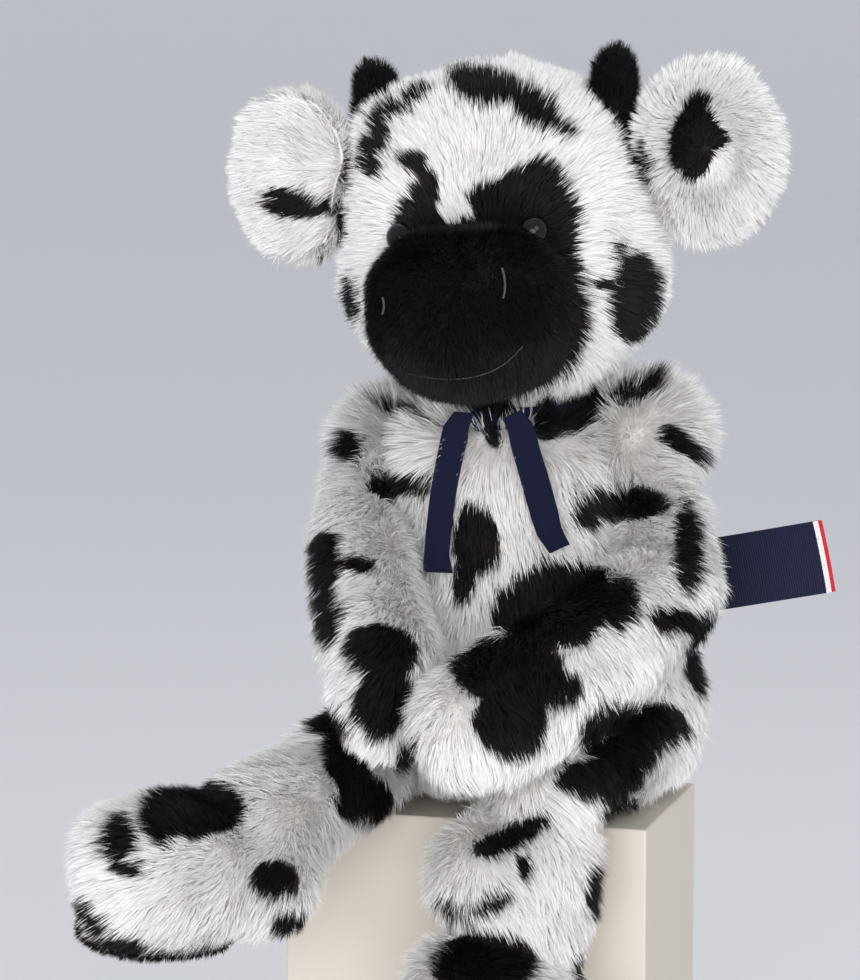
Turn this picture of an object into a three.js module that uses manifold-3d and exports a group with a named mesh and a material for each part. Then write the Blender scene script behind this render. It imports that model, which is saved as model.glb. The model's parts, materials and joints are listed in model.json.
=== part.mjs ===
// A plush cow that sits with its feet over an edge and its hands in its lap.
// Millimetres, +Z up, the cow faces -Y. The origin is the middle of the flat seat.
import * as THREE from 'three';
import { mergeVertices } from 'three/addons/utils/BufferGeometryUtils.js';
import Module from 'manifold-3d';

const wasm = await Module();
wasm.setup();

// Plush and clearances
const longPlush = 7; // backing and long pile together
const shortPlush = 3; // backing and short pile together
const seam = 0.3; // left between two pieces that are sewn or pressed together
const overrun = 6; // how far a cutting solid runs past what it cuts
const rootOpenShare = 0.8; // opening at a limb's root, as a share of the room inside it
const innerShare = 0.6; // facets round an inner surface, as a share of the outer one's

// Torso: a pear standing on a flat seat, leaning forward to its neck
const torso = { height: 140, halfWidth: 68, halfDepth: 54 };
const lean = { side: -4, forward: 12 };
const collar = { radius: 27, height: 9 };
// share of the height, of the half width and of the half depth
const torsoShares = [
  [0, 0.68, 0.68],
  [0.02, 0.84, 0.84],
  [0.07, 0.95, 0.95],
  [0.16, 1, 1],
  [0.28, 1, 1],
  [0.42, 0.93, 0.95],
  [0.56, 0.83, 0.88],
  [0.7, 0.73, 0.79],
  [0.84, 0.61, 0.68],
];
const leanPower = 1.5; // the torso curves forward towards the neck
const torsoSides = 18;

// Where the limbs are sewn to the torso, each at the middle of its round root
const shoulder = { halfSpan: 44.5, setBack: 5, belowNeck: 19, radius: 17.5,
  swing: { left: 45, right: 38 } }; // degrees outwards from straight ahead
const hip = { halfSpan: 38, forward: 28, height: 24, radius: 21 };

// Arms: stuffed tubes that widen to the hand, laid round the belly into the lap
const arm = { reach: 100, girth: 25, sides: 10, steps: 7 };
// along the arm, past the shoulder's own radius
const armGirthShares = { left: [0.86, 1, 1.1, 1.06], right: [0.82, 0.88, 0.94, 1] };
// outwards, forwards and up from the shoulder, as shares of the reach
const armPlaceShares = {
  left: [[0, 0, 0], [0.08, 0.14, -0.14], [0.2, 0.38, -0.38], [0.01, 0.78, -0.58], [-0.28, 1.04, -0.75]],
  right: [[0, 0, 0], [0.01, 0.22, -0.16], [-0.055, 0.52, -0.33], [-0.19, 0.76, -0.54], [-0.3, 0.92, -0.72]],
};

// Legs: a thigh from hip to knee, a shin from knee to ankle, and a big round foot
const thigh = { reach: 47, girth: 24, sides: 10, steps: 2 };
const shin = { reach: 47, girth: 26, sides: 10, steps: 3 };
const knee = { radius: 18 };
// along each stretch, past the hip's and the knee's own radius
const thighGirthShares = [1, 1];
const shinGirthShares = [1, 1.06];
// outwards, forwards and up, as shares of the reach of each stretch
const legPlaceShares = {
  left: { thigh: [-0.23, 0.97, -0.08], shin: [-0.14, 0.17, -0.98] },
  right: { thigh: [0.17, 0.94, -0.15], shin: [0.4, 0.86, -0.31] },
};
const foot = { length: 80, halfWidth: 33, halfHeight: 30, toeDrop: 3, sides: 12 };
const sole = { depth: 20.5 }; // from the middle of the foot down to the sole panel
const footSectionShares = [
  [0.13, 0.66, 0.62],
  [0.3, 0.9, 0.9],
  [0.5, 1, 1],
  [0.7, 0.97, 0.93],
  [0.88, 0.72, 0.68],
];
// where the foot's middle lies from the ankle, in feet lengths, and the way its toe points
const footPlaceShares = {
  left: { middle: [-0.12, 0.24, -0.3], toe: [-0.28, 0.96, -0.02] },
  right: { middle: [0.24, 0.28, -0.06], toe: [0.86, 0.5, 0.04] },
};
const footRoll = { left: 0, right: -8 }; // degrees about the toe line

// Turns of the limbs that stay clear, in degrees, and the room left as they turn
const shoulderSweep = { left: [8, 24, 45], right: [3, 8, 24, 45] };
const hipSweep = [12, 27, 40];
const kneeSweep = { left: [-45, -28, -12, 10], right: [-12, 15, 30, 45, 60] };
const turnRoom = 1.3;

// Head: an egg, widest at the cheeks, tilted a little to its right
const head = { halfWidth: 59, halfDepth: 56, crown: 74, jaw: 43, aboveNeck: 42, sides: 18, rings: 12 };
const headTilt = 4; // degrees
const nod = { aboveNeck: 58, sweep: [0, 7, 14, 20] }; // the line it nods about, and degrees cleared
const neckHole = { radius: 18.5 };
const neckPlug = { radius: 19, depth: 16, sides: 14 };

// Muzzle: a wide soft dome of short pile on the lower face
const muzzle = { halfWidth: 39, depth: 33, halfHeight: 31.5, forward: 43, drop: 6, sides: 16, rings: 8 };
const muzzlePower = 2.3; // a little squarer than an ellipse

// Eyes: moulded domes, each held by a washer on its shank
const eye = { radius: 5, dome: 4.2, halfSpan: 24, rise: 18, sunk: 2.5, shank: 1.6, shankLength: 13, sides: 12,
  domeAngles: [0, 25, 50, 72] }; // degrees from the middle of the dome
const washer = { radius: 6.5, thickness: 1.5, clearance: 0.15 };

// Horns: short stuffed cones with round tips
const horn = { lean: 38, splay: 8, root: 65, length: 18, rootRadius: 10.5, tipRadius: 7, sides: 10,
  steps: 2 };

// Ears: cupped leaves of two layers on a short stalk
const ear = { halfWidth: 26, halfHeight: 32, depth: 17, lift: 27.5, span: 83, forward: 3, turn: 17 };
const earLayer = { thickness: 6.5, cupShift: 7, rimShare: 0.1, sides: 14, rings: 8 };
const earSweep = [-15, 0, 15]; // degrees cleared, about the upright line of its root
const earStalk = { radius: 7, lift: 20, pivotOut: 3.5, sides: 8, steps: 2 };

// Ribbon round the neck, its knot and its two tails
const ribbon = { width: 8.5, thickness: 0.8, sides: 24 };
const knot = { halfWidth: 6, halfDepth: 3.4, halfHeight: 4.2, sides: 10, rings: 6 };
// sideways from the knot, and down, as shares of each tail's drop
const ribbonTails = {
  right: { drop: 54, spreadShares: [0.15, 0.16, 0.17, 0.17] },
  left: { drop: 45, spreadShares: [0.23, 0.34, 0.47, 0.62] },
};
const tailDropShares = [0, 0.28, 0.62, 1];

// Label: a folded woven tab in the left side seam
const label = { length: 53, height: 25, thickness: 1.2, rootHeight: 76, back: 12, rise: 12 };
const labelSweep = [0, 25, 50]; // degrees

// Tail: a thin plush cord with a tuft, curled to its right on the seat behind
const tail = { reach: 60, radius: 4.5, height: 26, tuftRadius: 8.5, sides: 8, steps: 7, tuftSteps: 2,
  sweep: [-20, 0, 20] };
const tailPlaceShares = [
  [0, 0, 0], [0, 0.14, -0.06], [-0.03, 0.28, -0.2], [-0.14, 0.5, -0.27], [-0.36, 0.7, -0.26],
];
const tuftPlaceShares = [[-0.4, 0.735, -0.25], [-0.56, 0.84, -0.24], [-0.74, 0.92, -0.23]];

// Pellet bag: a flat round cushion in the seat
const pelletBag = { halfWidth: 33, halfDepth: 26, halfHeight: 11, back: 15, sides: 14, rings: 6 };

const vec = (x, y, z) => new THREE.Vector3(x, y, z);
const radians = THREE.MathUtils.degToRad;

// One closed surface through rings of points, with a pole closing each end
function loft(rings) {
  const sides = rings[0].length;
  const points = [];
  const index = [];
  const middle = (ring) => ring.reduce((sum, p) => sum.add(p), vec(0, 0, 0)).divideScalar(sides);
  rings.forEach((ring) => points.push(...ring));
  for (let r = 0; r + 1 < rings.length; r++) {
    for (let k = 0; k < sides; k++) {
      const a = r * sides + k;
      const b = r * sides + (k + 1) % sides;
      index.push(a, b, a + sides, b, b + sides, a + sides);
    }
  }
  const first = points.length;
  points.push(middle(rings[0]), middle(rings[rings.length - 1]));
  const last = (rings.length - 1) * sides;
  for (let k = 0; k < sides; k++) {
    const next = (k + 1) % sides;
    index.push(first, next, k);
    index.push(first + 1, last + k, last + next);
  }
  const geometry = new THREE.BufferGeometry().setFromPoints(points);
  geometry.setIndex(index);
  return solid(geometry);
}

// A ring of points round a centre, in the plane of two unit directions
function ring(centre, across, up, a, b, sides, power = 2) {
  return Array.from({ length: sides }, (_, k) => {
    const angle = (2 * Math.PI * k) / sides;
    const c = Math.cos(angle);
    const s = Math.sin(angle);
    const x = a * Math.sign(c) * Math.abs(c) ** (2 / power);
    const y = b * Math.sign(s) * Math.abs(s) ** (2 / power);
    return centre.clone().addScaledVector(across, x).addScaledVector(up, y);
  });
}

// three.js geometry to a solid that can be joined and cut
function solid(geometry) {
  const bare = geometry.clone();
  bare.deleteAttribute('normal');
  bare.deleteAttribute('uv');
  const merged = mergeVertices(bare);
  return new wasm.Manifold(new wasm.Mesh({
    numProp: 3,
    vertProperties: new Float32Array(merged.attributes.position.array),
    triVerts: new Uint32Array(merged.index.array),
  }));
}

const facets = (count, grow) => (grow < 0 ? Math.ceil(count * innerShare) : count);

// A swollen ball: an ellipsoid, squarer as its power rises, with its poles along Z
// and its lower half as deep as low
function ball(centre, rx, ry, rz, sides, rings, { power = 2, low = rz } = {}) {
  const shape = [];
  for (let n = 1; n < rings; n++) {
    const angle = (Math.PI * n) / rings;
    const c = -Math.cos(angle);
    const z = (c > 0 ? rz : low) * Math.sign(c) * Math.abs(c) ** (2 / power);
    const wide = Math.sin(angle) ** (2 / power);
    shape.push(ring(vec(0, 0, z), vec(1, 0, 0), vec(0, 1, 0), rx * wide, ry * wide, sides, power));
  }
  return loft(shape).translate([centre.x, centre.y, centre.z]);
}

// Smooth value between evenly spaced radii
function radiusAt(radii, share) {
  const spline = new THREE.SplineCurve(radii.map((r, n) => new THREE.Vector2(n, r)));
  return spline.getPoint(share).y;
}

// A stuffed tube along a path, with round ends; grow makes it fatter all over
function stuffedTube(path, radii, grow, tube) {
  const curve = new THREE.CatmullRomCurve3(path);
  const sides = facets(tube.sides, grow);
  const steps = facets(tube.steps, grow);
  const frames = [];
  let across = null;
  for (let n = 0; n <= steps; n++) {
    const share = n / steps;
    const along = curve.getTangentAt(share);
    if (across === null) across = Math.abs(along.z) < Math.SQRT1_2 ? vec(0, 0, 1) : vec(1, 0, 0);
    across = across.clone().addScaledVector(along, -across.dot(along)).normalize();
    const up = along.clone().cross(across);
    frames.push({ centre: curve.getPointAt(share), along, across, up, radius: radiusAt(radii, share) + grow });
  }
  const cap = (frame, angle) => {
    const centre = frame.centre.clone().addScaledVector(frame.along, -frame.radius * Math.cos(angle));
    const wide = frame.radius * Math.sin(angle);
    return ring(centre, frame.across, frame.up, wide, wide, sides);
  };
  const end = frames[frames.length - 1];
  return loft([
    cap(frames[0], Math.PI / 8),
    cap(frames[0], Math.PI / 4),
    ...frames.map((frame) => cap(frame, Math.PI / 2)),
    cap(end, (3 * Math.PI) / 4),
    cap(end, (7 * Math.PI) / 8),
  ]);
}

// A rod between two points, for openings and pockets
function rod(from, to, radius, sides) {
  const along = to.clone().sub(from);
  const geometry = new THREE.CylinderGeometry(radius, radius, along.length(), sides);
  const turn = new THREE.Quaternion();
  turn.setFromUnitVectors(vec(0, 1, 0), along.clone().normalize());
  geometry.applyQuaternion(turn);
  geometry.translate(...from.clone().add(to).multiplyScalar(0.5).toArray());
  return solid(geometry);
}

// A turned piece along a line: the profile is pairs of radius and height along it
function turnedPiece(profile, from, along, count) {
  const geometry = new THREE.LatheGeometry(profile.map(([r, h]) => new THREE.Vector2(r, h)), count);
  geometry.applyQuaternion(new THREE.Quaternion().setFromUnitVectors(vec(0, 1, 0), along));
  geometry.translate(...from.toArray());
  return solid(geometry);
}

// A flat strap: a rectangle swept along points, its width kept level
function strap(points, width, thickness) {
  return loft(points.map((p, n) => {
    const before = points[Math.max(0, n - 1)];
    const after = points[Math.min(points.length - 1, n + 1)];
    const along = after.clone().sub(before).normalize();
    const across = vec(1, 0, 0).addScaledVector(along, -along.x).normalize();
    const out = along.clone().cross(across);
    return [[1, 1], [-1, 1], [-1, -1], [1, -1]].map(([a, b]) => p.clone()
      .addScaledVector(across, (a * width) / 2)
      .addScaledVector(out, (b * thickness) / 2));
  }));
}

// The ball round a faceted ball of the given radius, clear of its corners as it turns
function socket(centre, radius, sides) {
  const wide = radius / Math.cos(Math.PI / sides) ** 2;
  return ball(centre, wide, wide, wide, sides, sides / 2 + 1);
}

const cut = (whole, ...parts) => parts.reduce((rest, part) => rest.subtract(part), whole);
const join = (first, ...parts) => parts.reduce((sum, part) => sum.add(part), first);

// The main body of a cut shape, without the crumbs that a slanting cut can leave
const mainBody = (shape) =>
  shape.decompose().reduce((best, part) => (part.volume() > best.volume() ? part : best));

// Turns a solid about a line through a point
function turned(shape, pivot, axis, degrees) {
  const turn = new THREE.Matrix4().makeTranslation(pivot)
    .multiply(new THREE.Matrix4().makeRotationAxis(axis, radians(degrees)))
    .multiply(new THREE.Matrix4().makeTranslation(pivot.clone().negate()));
  return shape.transform(turn.elements);
}

const level = vec(1, 0, 0);
const upright = vec(0, 0, 1);
const bothSides = ['left', 'right'];
const signOf = { left: 1, right: -1 }; // the cow's left is +X

// Torso
const leanAt = (height) => {
  const share = Math.min(1, height / (torso.height - collar.height)) ** leanPower;
  return vec(lean.side * share, -lean.forward * share, height);
};

function torsoForm(grow) {
  const floor = -grow;
  const [base, ...above] = torsoShares;
  const levels = above.filter(([high]) => high * torso.height > floor);
  const rings = [[0, ...base.slice(1)], ...levels].map(([high, wide, deep]) => {
    const centre = leanAt(Math.max(0, high * torso.height));
    if (high === 0) centre.z = floor;
    return ring(centre, level, vec(0, 1, 0), wide * torso.halfWidth + grow, deep * torso.halfDepth + grow,
      facets(torsoSides, grow));
  });
  const round = collar.radius + grow;
  for (const height of [torso.height - collar.height, torso.height]) {
    rings.push(ring(leanAt(height), level, vec(0, 1, 0), round, round, facets(torsoSides, grow)));
  }
  return loft(rings);
}

// The torso's half width and half depth at a height
function torsoSize(height) {
  const share = height / torso.height;
  const above = torsoShares.findIndex(([high]) => high > share);
  const [h1, ...upper] = above < 0 ? [1, ...torsoShares[torsoShares.length - 1].slice(1)] : torsoShares[above];
  const [h0, ...lower] = torsoShares[above < 0 ? torsoShares.length - 1 : above - 1];
  const part = (share - h0) / (h1 - h0);
  const [wide, deep] = lower.map((value, n) => value + (upper[n] - value) * part);
  return { halfWidth: wide * torso.halfWidth, halfDepth: deep * torso.halfDepth };
}

const neck = leanAt(torso.height);
const shoulderAt = (side) =>
  leanAt(torso.height - shoulder.belowNeck)
    .add(vec(signOf[side] * shoulder.halfSpan, shoulder.setBack, 0));
const hipAt = (side) => vec(signOf[side] * hip.halfSpan, -hip.forward, hip.height);

// A point from another, by shares of a reach: outwards, forwards and up
const fromShares = (start, side, reach, [out, forward, up]) =>
  start.clone().add(vec(signOf[side] * out, -forward, up).multiplyScalar(reach));

// Arms
function armForm(side, grow) {
  const path = armPlaceShares[side].map((share) => fromShares(shoulderAt(side), side, arm.reach, share));
  const radii = [shoulder.radius, ...armGirthShares[side].map((share) => share * arm.girth)];
  return stuffedTube(path, radii, grow, arm);
}

// Legs
const kneeAt = (side) => fromShares(hipAt(side), side, thigh.reach, legPlaceShares[side].thigh);
const ankleAt = (side) => fromShares(kneeAt(side), side, shin.reach, legPlaceShares[side].shin);

function thighForm(side, grow) {
  const path = [hipAt(side), hipAt(side).lerp(kneeAt(side), 0.5), kneeAt(side)];
  const radii = [hip.radius, ...thighGirthShares.map((share) => share * thigh.girth)];
  return stuffedTube(path, radii, grow, thigh);
}

function shinForm(side, grow) {
  const path = [kneeAt(side), kneeAt(side).lerp(ankleAt(side), 0.5), ankleAt(side)];
  const radii = [knee.radius, ...shinGirthShares.map((share) => share * shin.girth)];
  return stuffedTube(path, radii, grow, shin);
}

const footFrame = (side) => {
  const { middle, toe } = footPlaceShares[side];
  const along = vec(signOf[side] * toe[0], -toe[1], toe[2]).normalize();
  const across = along.clone().cross(upright).normalize().applyAxisAngle(along, radians(footRoll[side]));
  return {
    centre: fromShares(ankleAt(side), side, foot.length, middle),
    along,
    across,
    up: across.clone().cross(along),
  };
};

function footForm(side, grow) {
  const { centre, along, across, up } = footFrame(side);
  return loft(footSectionShares.map(([share, wide, high]) => {
    const middle = centre.clone()
      .addScaledVector(along, (share - 0.5) * (foot.length + 2 * grow))
      .addScaledVector(up, -foot.toeDrop * share);
    return ring(middle, up, across, high * (foot.halfHeight + grow), wide * (foot.halfWidth + grow),
      facets(foot.sides, grow));
  }));
}

// A slab square to the foot, from one depth below the sole's seam line to another
function belowSole(side, from, to) {
  const { centre, along, across, up } = footFrame(side);
  const block = new THREE.BoxGeometry(2 * foot.length, 2 * foot.length, to - from);
  block.translate(0, 0, -sole.depth - (from + to) / 2);
  block.applyMatrix4(new THREE.Matrix4().makeBasis(along, across.clone().negate(), up).setPosition(centre));
  return solid(block);
}

const legForm = (side, grow) => join(shinForm(side, grow), footForm(side, grow));

// Head and what is on it, made upright about the head's middle and then tilted
const headAt = neck.clone().add(vec(0, 0, head.aboveNeck));
const tilted = (shape) => turned(shape, headAt, vec(0, 1, 0), -headTilt);
const inHead = (x, y, z) => headAt.clone().add(vec(x, y, z));
const headForm = (grow) => tilted(ball(
  headAt, head.halfWidth + grow, head.halfDepth + grow, head.crown + grow,
  facets(head.sides, grow), facets(head.rings, grow), { low: head.jaw + grow },
));
const muzzleForm = (grow) => tilted(ball(
  inHead(0, -muzzle.forward, -muzzle.drop),
  muzzle.halfWidth + grow, muzzle.depth + grow, muzzle.halfHeight + grow,
  facets(muzzle.sides, grow), facets(muzzle.rings, grow), { power: muzzlePower },
));

// The seat of an eye, sunk in the pile, and the line that it looks along
function eyeLine(side) {
  const x = signOf[side] * eye.halfSpan;
  const deep = head.halfDepth * Math.sqrt(1 - (x / head.halfWidth) ** 2 - (eye.rise / head.crown) ** 2);
  const out = vec(x / head.halfWidth ** 2, -deep / head.halfDepth ** 2, eye.rise / head.crown ** 2).normalize();
  return { seat: inHead(x, -deep, eye.rise).addScaledVector(out, -eye.sunk), out };
}

function eyeForm(side) {
  const { seat, out } = eyeLine(side);
  const dome = eye.domeAngles.map((angle) =>
    [eye.radius * Math.sin(radians(angle)), eye.dome * Math.cos(radians(angle))]);
  const profile = [
    [0, -eye.shankLength], [eye.shank, -eye.shankLength], [eye.shank, 0], [eye.radius, 0], ...dome.reverse(),
  ];
  return tilted(turnedPiece(profile, seat, out, eye.sides));
}

const washerDepth = longPlush - eye.sunk + seam; // from the eye's seat to the washer
const aroundEye = (radius) => radius / Math.cos(Math.PI / eye.sides); // round a faceted shank

function washerForm(side) {
  const { seat, out } = eyeLine(side);
  const bore = aroundEye(eye.shank + washer.clearance);
  const [top, low] = [-washerDepth, -washerDepth - washer.thickness];
  const profile = [[bore, low], [washer.radius, low], [washer.radius, top], [bore, top], [bore, low]];
  return tilted(turnedPiece(profile, seat, out, eye.sides));
}

// A round hole on the eye's line, between two distances from its seat
function eyeHole(side, from, to, radius) {
  const { seat, out } = eyeLine(side);
  const at = (distance) => seat.clone().addScaledVector(out, distance);
  return tilted(rod(at(from), at(to), aroundEye(radius + seam), eye.sides));
}

const eyePocket = (side) => join(
  eyeHole(side, -seam, eye.sunk + overrun, eye.radius),
  eyeHole(side, -eye.shankLength, eye.sunk, eye.shank),
);
const washerPocket = (side) => eyeHole(side, -eye.shankLength - seam, seam - washerDepth, washer.radius);
const eyeRoom = (side) => eyeHole(side, -eye.shankLength, eye.dome + overrun, eye.radius);

// Horns
function hornForm(side, grow) {
  const slope = (degrees) => vec(signOf[side] * Math.sin(radians(degrees)), 0, Math.cos(radians(degrees)));
  const root = headAt.clone().addScaledVector(slope(horn.lean), horn.root);
  const path = [0, 0.5, 1].map((share) => root.clone().addScaledVector(slope(horn.splay), share * horn.length));
  const radii = [horn.rootRadius, (horn.rootRadius + horn.tipRadius) / 2, horn.tipRadius];
  return tilted(stuffedTube(path, radii, grow, horn));
}

// Ears: each a cup of two layers, on a stalk whose round root turns in the head
const earLine = (side, degrees) => vec(signOf[side] * Math.cos(radians(degrees)), 0, Math.sin(radians(degrees)));
const earMiddle = (side) => inHead(0, -ear.forward, 0).addScaledVector(earLine(side, ear.lift), ear.span);
const headEdge = (degrees) =>
  1 / Math.hypot(Math.cos(radians(degrees)) / head.halfWidth, Math.sin(radians(degrees)) / head.crown);
const earPivot = (side) =>
  inHead(0, 0, 0).addScaledVector(earLine(side, earStalk.lift), headEdge(earStalk.lift) + earStalk.pivotOut);
const tiltedPoint = (point) =>
  point.clone().sub(headAt).applyAxisAngle(vec(0, 1, 0), radians(-headTilt)).add(headAt);

const earCup = (inset, shift) => ball(
  vec(0, -shift, 0), ear.halfWidth - inset, ear.depth - inset / 2, ear.halfHeight - inset,
  earLayer.sides, earLayer.rings,
);

function earParts(side) {
  const front = new THREE.BoxGeometry(4 * ear.halfWidth, 2 * ear.depth, 4 * ear.halfHeight);
  front.translate(0, -ear.depth * (1 + earLayer.rimShare), 0);
  const before = solid(front);
  const layer = earLayer.thickness;
  const between = earCup(layer - seam, earLayer.cupShift / 2);
  const back = cut(earCup(0, 0), between, before);
  const inner = cut(earCup(layer, earLayer.cupShift / 2), earCup(2 * layer, earLayer.cupShift), before);
  const middle = earMiddle(side);
  const pivot = earPivot(side);
  const place = (shape) => cut(
    tilted(shape.rotate([0, 0, signOf[side] * ear.turn]).translate([middle.x, middle.y, middle.z])),
    ...earSweep.map((degrees) => turned(headForm(seam), tiltedPoint(pivot), upright, degrees)),
  );
  const stalk = tilted(stuffedTube(
    [0, 0.25, 0.5].map((share) => pivot.clone().lerp(middle, share)),
    [earStalk.radius, earStalk.radius, earStalk.radius], 0, earStalk,
  ));
  return { back: join(place(back), cut(stalk, place(join(between, before)))), front: place(inner) };
}

// Ribbon: a loop round the collar, a knot in front and two tails down the chest
const knotAt = neck.clone().add(vec(0, -collar.radius - knot.halfDepth, -knot.halfHeight - seam));

function ribbonLoop() {
  const inner = (collar.radius + seam) / Math.cos(Math.PI / ribbon.sides);
  const outer = inner + ribbon.thickness;
  const [top, low] = [-seam, -seam - ribbon.width];
  const profile = [[inner, low], [outer, low], [outer, top], [inner, top], [inner, low]];
  return turnedPiece(profile, neck, upright, ribbon.sides);
}

const knotForm = () =>
  ball(knotAt, knot.halfWidth, knot.halfDepth, knot.halfHeight, knot.sides, knot.rings);

function chestAt(x, z) {
  const { halfWidth, halfDepth } = torsoSize(z);
  const centre = leanAt(z);
  return centre.y - halfDepth * Math.sqrt(1 - ((x - centre.x) / halfWidth) ** 2);
}

// The front of the ribbon's loop, which the two tails hang over
const ringFront = neck.y - collar.radius - 2 * ribbon.thickness;

function ribbonTail(side) {
  const { drop, spreadShares } = ribbonTails[side];
  const top = knotAt.z + knot.halfHeight - seam;
  const points = tailDropShares.map((share, n) => {
    const x = knotAt.x + signOf[side] * spreadShares[n] * drop;
    const z = top - share * drop;
    const chest = [-ribbon.width / 2, 0, ribbon.width / 2].map((edge) => chestAt(x + edge, z));
    return vec(x, Math.min(...chest, ringFront) - ribbon.thickness / 2 - seam, z);
  });
  return strap(points, ribbon.width, ribbon.thickness);
}

// Label in the left side seam
const labelRoot = () => {
  const centre = leanAt(label.rootHeight);
  const { halfWidth, halfDepth } = torsoSize(label.rootHeight);
  return centre.add(vec(halfWidth * Math.sqrt(1 - (label.back / halfDepth) ** 2), label.back, 0));
};

function labelForm() {
  const plate = new THREE.BoxGeometry(label.length + overrun, label.thickness, label.height);
  plate.translate((label.length - overrun) / 2, 0, 0);
  plate.rotateY(-radians(label.rise));
  plate.translate(...labelRoot().toArray());
  const seamLine = upright.clone().applyAxisAngle(vec(0, 1, 0), -radians(label.rise));
  const pressed = (degrees) => turned(torsoForm(seam), labelRoot(), seamLine, -degrees);
  return cut(solid(plate), ...labelSweep.map(pressed));
}

// Tail and tuft, from the back seam
const tailRoot = () => leanAt(tail.height).add(vec(0, torsoSize(tail.height).halfDepth, 0));

function tailForm(shares, radius, steps) {
  const path = shares.map(([x, y, z]) => tailRoot().add(vec(x, y, z).multiplyScalar(tail.reach)));
  return stuffedTube(path, shares.map(() => radius), 0, { sides: tail.sides, steps });
}

// A limb's skin and filling: the form less what presses on it and what it passes as it
// turns, with a round root that turns in its socket and an opening there, where the
// fillings meet
function limb({ form, root, radius, inward, pressed, passed = [] }) {
  const opening = (grow) => rod(
    root, root.clone().addScaledVector(inward, radius + overrun), rootOpenShare * (radius - longPlush) + grow,
    arm.sides,
  );
  const inside = (grow) =>
    mainBody(join(cut(form(grow), ...pressed(seam - grow)), opening(grow + longPlush)));
  const outer = mainBody(cut(form(0), ...pressed(seam), ...passed));
  return {
    skin: mainBody(cut(outer, inside(-longPlush))),
    filling: mainBody(outer.intersect(inside(-longPlush - seam))),
  };
}

// An arm swings outwards, forwards and up together
const shoulderAxis = (side) =>
  vec(-Math.cos(radians(shoulder.swing[side])), -signOf[side] * Math.sin(radians(shoulder.swing[side])), 0);

// The torso as it presses on a limb sewn to it, open round the limb's root
const torsoBeside = (root, radius, gap) => cut(torsoForm(gap), socket(root, radius + seam - gap, arm.sides));

const pieces = {};
const torsoSockets = bothSides.flatMap((side) => [
  socket(shoulderAt(side), shoulder.radius + seam, arm.sides),
  socket(hipAt(side), hip.radius + seam, thigh.sides),
]);
const tailSocket = socket(tailRoot(), tail.radius + seam, tail.sides);
const aboveNeck = (distance) => neck.clone().add(vec(0, 0, distance));
const bagAt = vec(0, pelletBag.back, longPlush + pelletBag.halfHeight + 2 * seam);
const bagForm = (grow) => ball(
  bagAt, pelletBag.halfWidth + grow, pelletBag.halfDepth + grow, pelletBag.halfHeight + grow,
  pelletBag.sides, pelletBag.rings,
);
pieces.torso_skin = mainBody(cut(
  torsoForm(0), torsoForm(-longPlush),
  rod(aboveNeck(-neckPlug.depth), aboveNeck(overrun), collar.radius - longPlush, torsoSides),
  ...torsoSockets, tailSocket,
));
pieces.torso_filling = mainBody(cut(
  torsoForm(-longPlush - seam),
  rod(aboveNeck(-neckPlug.depth), aboveNeck(overrun), collar.radius, torsoSides),
  ...torsoSockets,
  bagForm(seam),
  rod(bagAt, vec(bagAt.x, bagAt.y, 0), pelletBag.halfDepth / 2, pelletBag.sides),
));
pieces.pellet_bag = bagForm(0);
const nodLine = neck.clone().add(vec(0, 0, nod.aboveNeck));
pieces.neck_filling = mainBody(cut(
  rod(aboveNeck(seam - neckPlug.depth), aboveNeck(2 * overrun), neckPlug.radius, neckPlug.sides),
  ...nod.sweep.map((degrees) => turned(headForm(seam), nodLine, level, -degrees)),
));

// The shin as it turns at the knee
const shinPasses = (side) =>
  kneeSweep[side].map((degrees) => turned(shinForm(side, turnRoom), kneeAt(side), level, degrees));

// What an arm passes close by as it swings
const armPasses = (side) => join(
  torsoBeside(shoulderAt(side), shoulder.radius, turnRoom),
  ...(side === 'right' ? [shinForm(side, seam), armForm('left', turnRoom)] : []),
);

// The right hand lies under the left one, and both hands on the thighs
for (const side of bothSides) {
  const root = shoulderAt(side);
  const { skin, filling } = limb({
    form: (grow) => armForm(side, grow),
    root,
    radius: shoulder.radius,
    inward: vec(-signOf[side], 0, 0),
    pressed: (gap) => [
      torsoBeside(root, shoulder.radius, gap), thighForm(side, gap), shinForm(side, gap),
      ...(side === 'right' ? [armForm('left', gap)] : []),
    ],
    passed: [
      ...shoulderSweep[side].map((degrees) =>
        turned(armPasses(side), root, shoulderAxis(side), -degrees)),
      ...shinPasses(side),
    ],
  });
  pieces[`arm_${side}_skin`] = skin;
  pieces[`arm_${side}_filling`] = filling;
}

for (const side of bothSides) {
  const [root, bend] = [hipAt(side), kneeAt(side)];
  const kneeRoom = join(
    socket(bend, knee.radius + seam, shin.sides),
    shinForm(side, seam),
    ...shinPasses(side),
  );
  const upper = limb({
    form: (grow) => thighForm(side, grow),
    root,
    radius: hip.radius,
    inward: root.clone().sub(bend).normalize(),
    pressed: (gap) => [torsoBeside(root, hip.radius, gap)],
    passed: [kneeRoom, ...hipSweep.map((degrees) =>
      turned(torsoBeside(root, hip.radius, turnRoom), root, level, -degrees))],
  });
  pieces[`thigh_${side}_skin`] = upper.skin;
  pieces[`thigh_${side}_filling`] = upper.filling;
  const lower = limb({
    form: (grow) => legForm(side, grow),
    root: bend,
    radius: knee.radius,
    inward: root.clone().sub(bend).normalize(),
    pressed: () => [],
    passed: [belowSole(side, 0, foot.length)],
  });
  pieces[`shin_${side}_skin`] = lower.skin;
  pieces[`shin_${side}_filling`] = lower.filling;
  pieces[`sole_${side}`] = mainBody(
    legForm(side, 0).intersect(belowSole(side, seam, seam + shortPlush)),
  );
}

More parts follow.
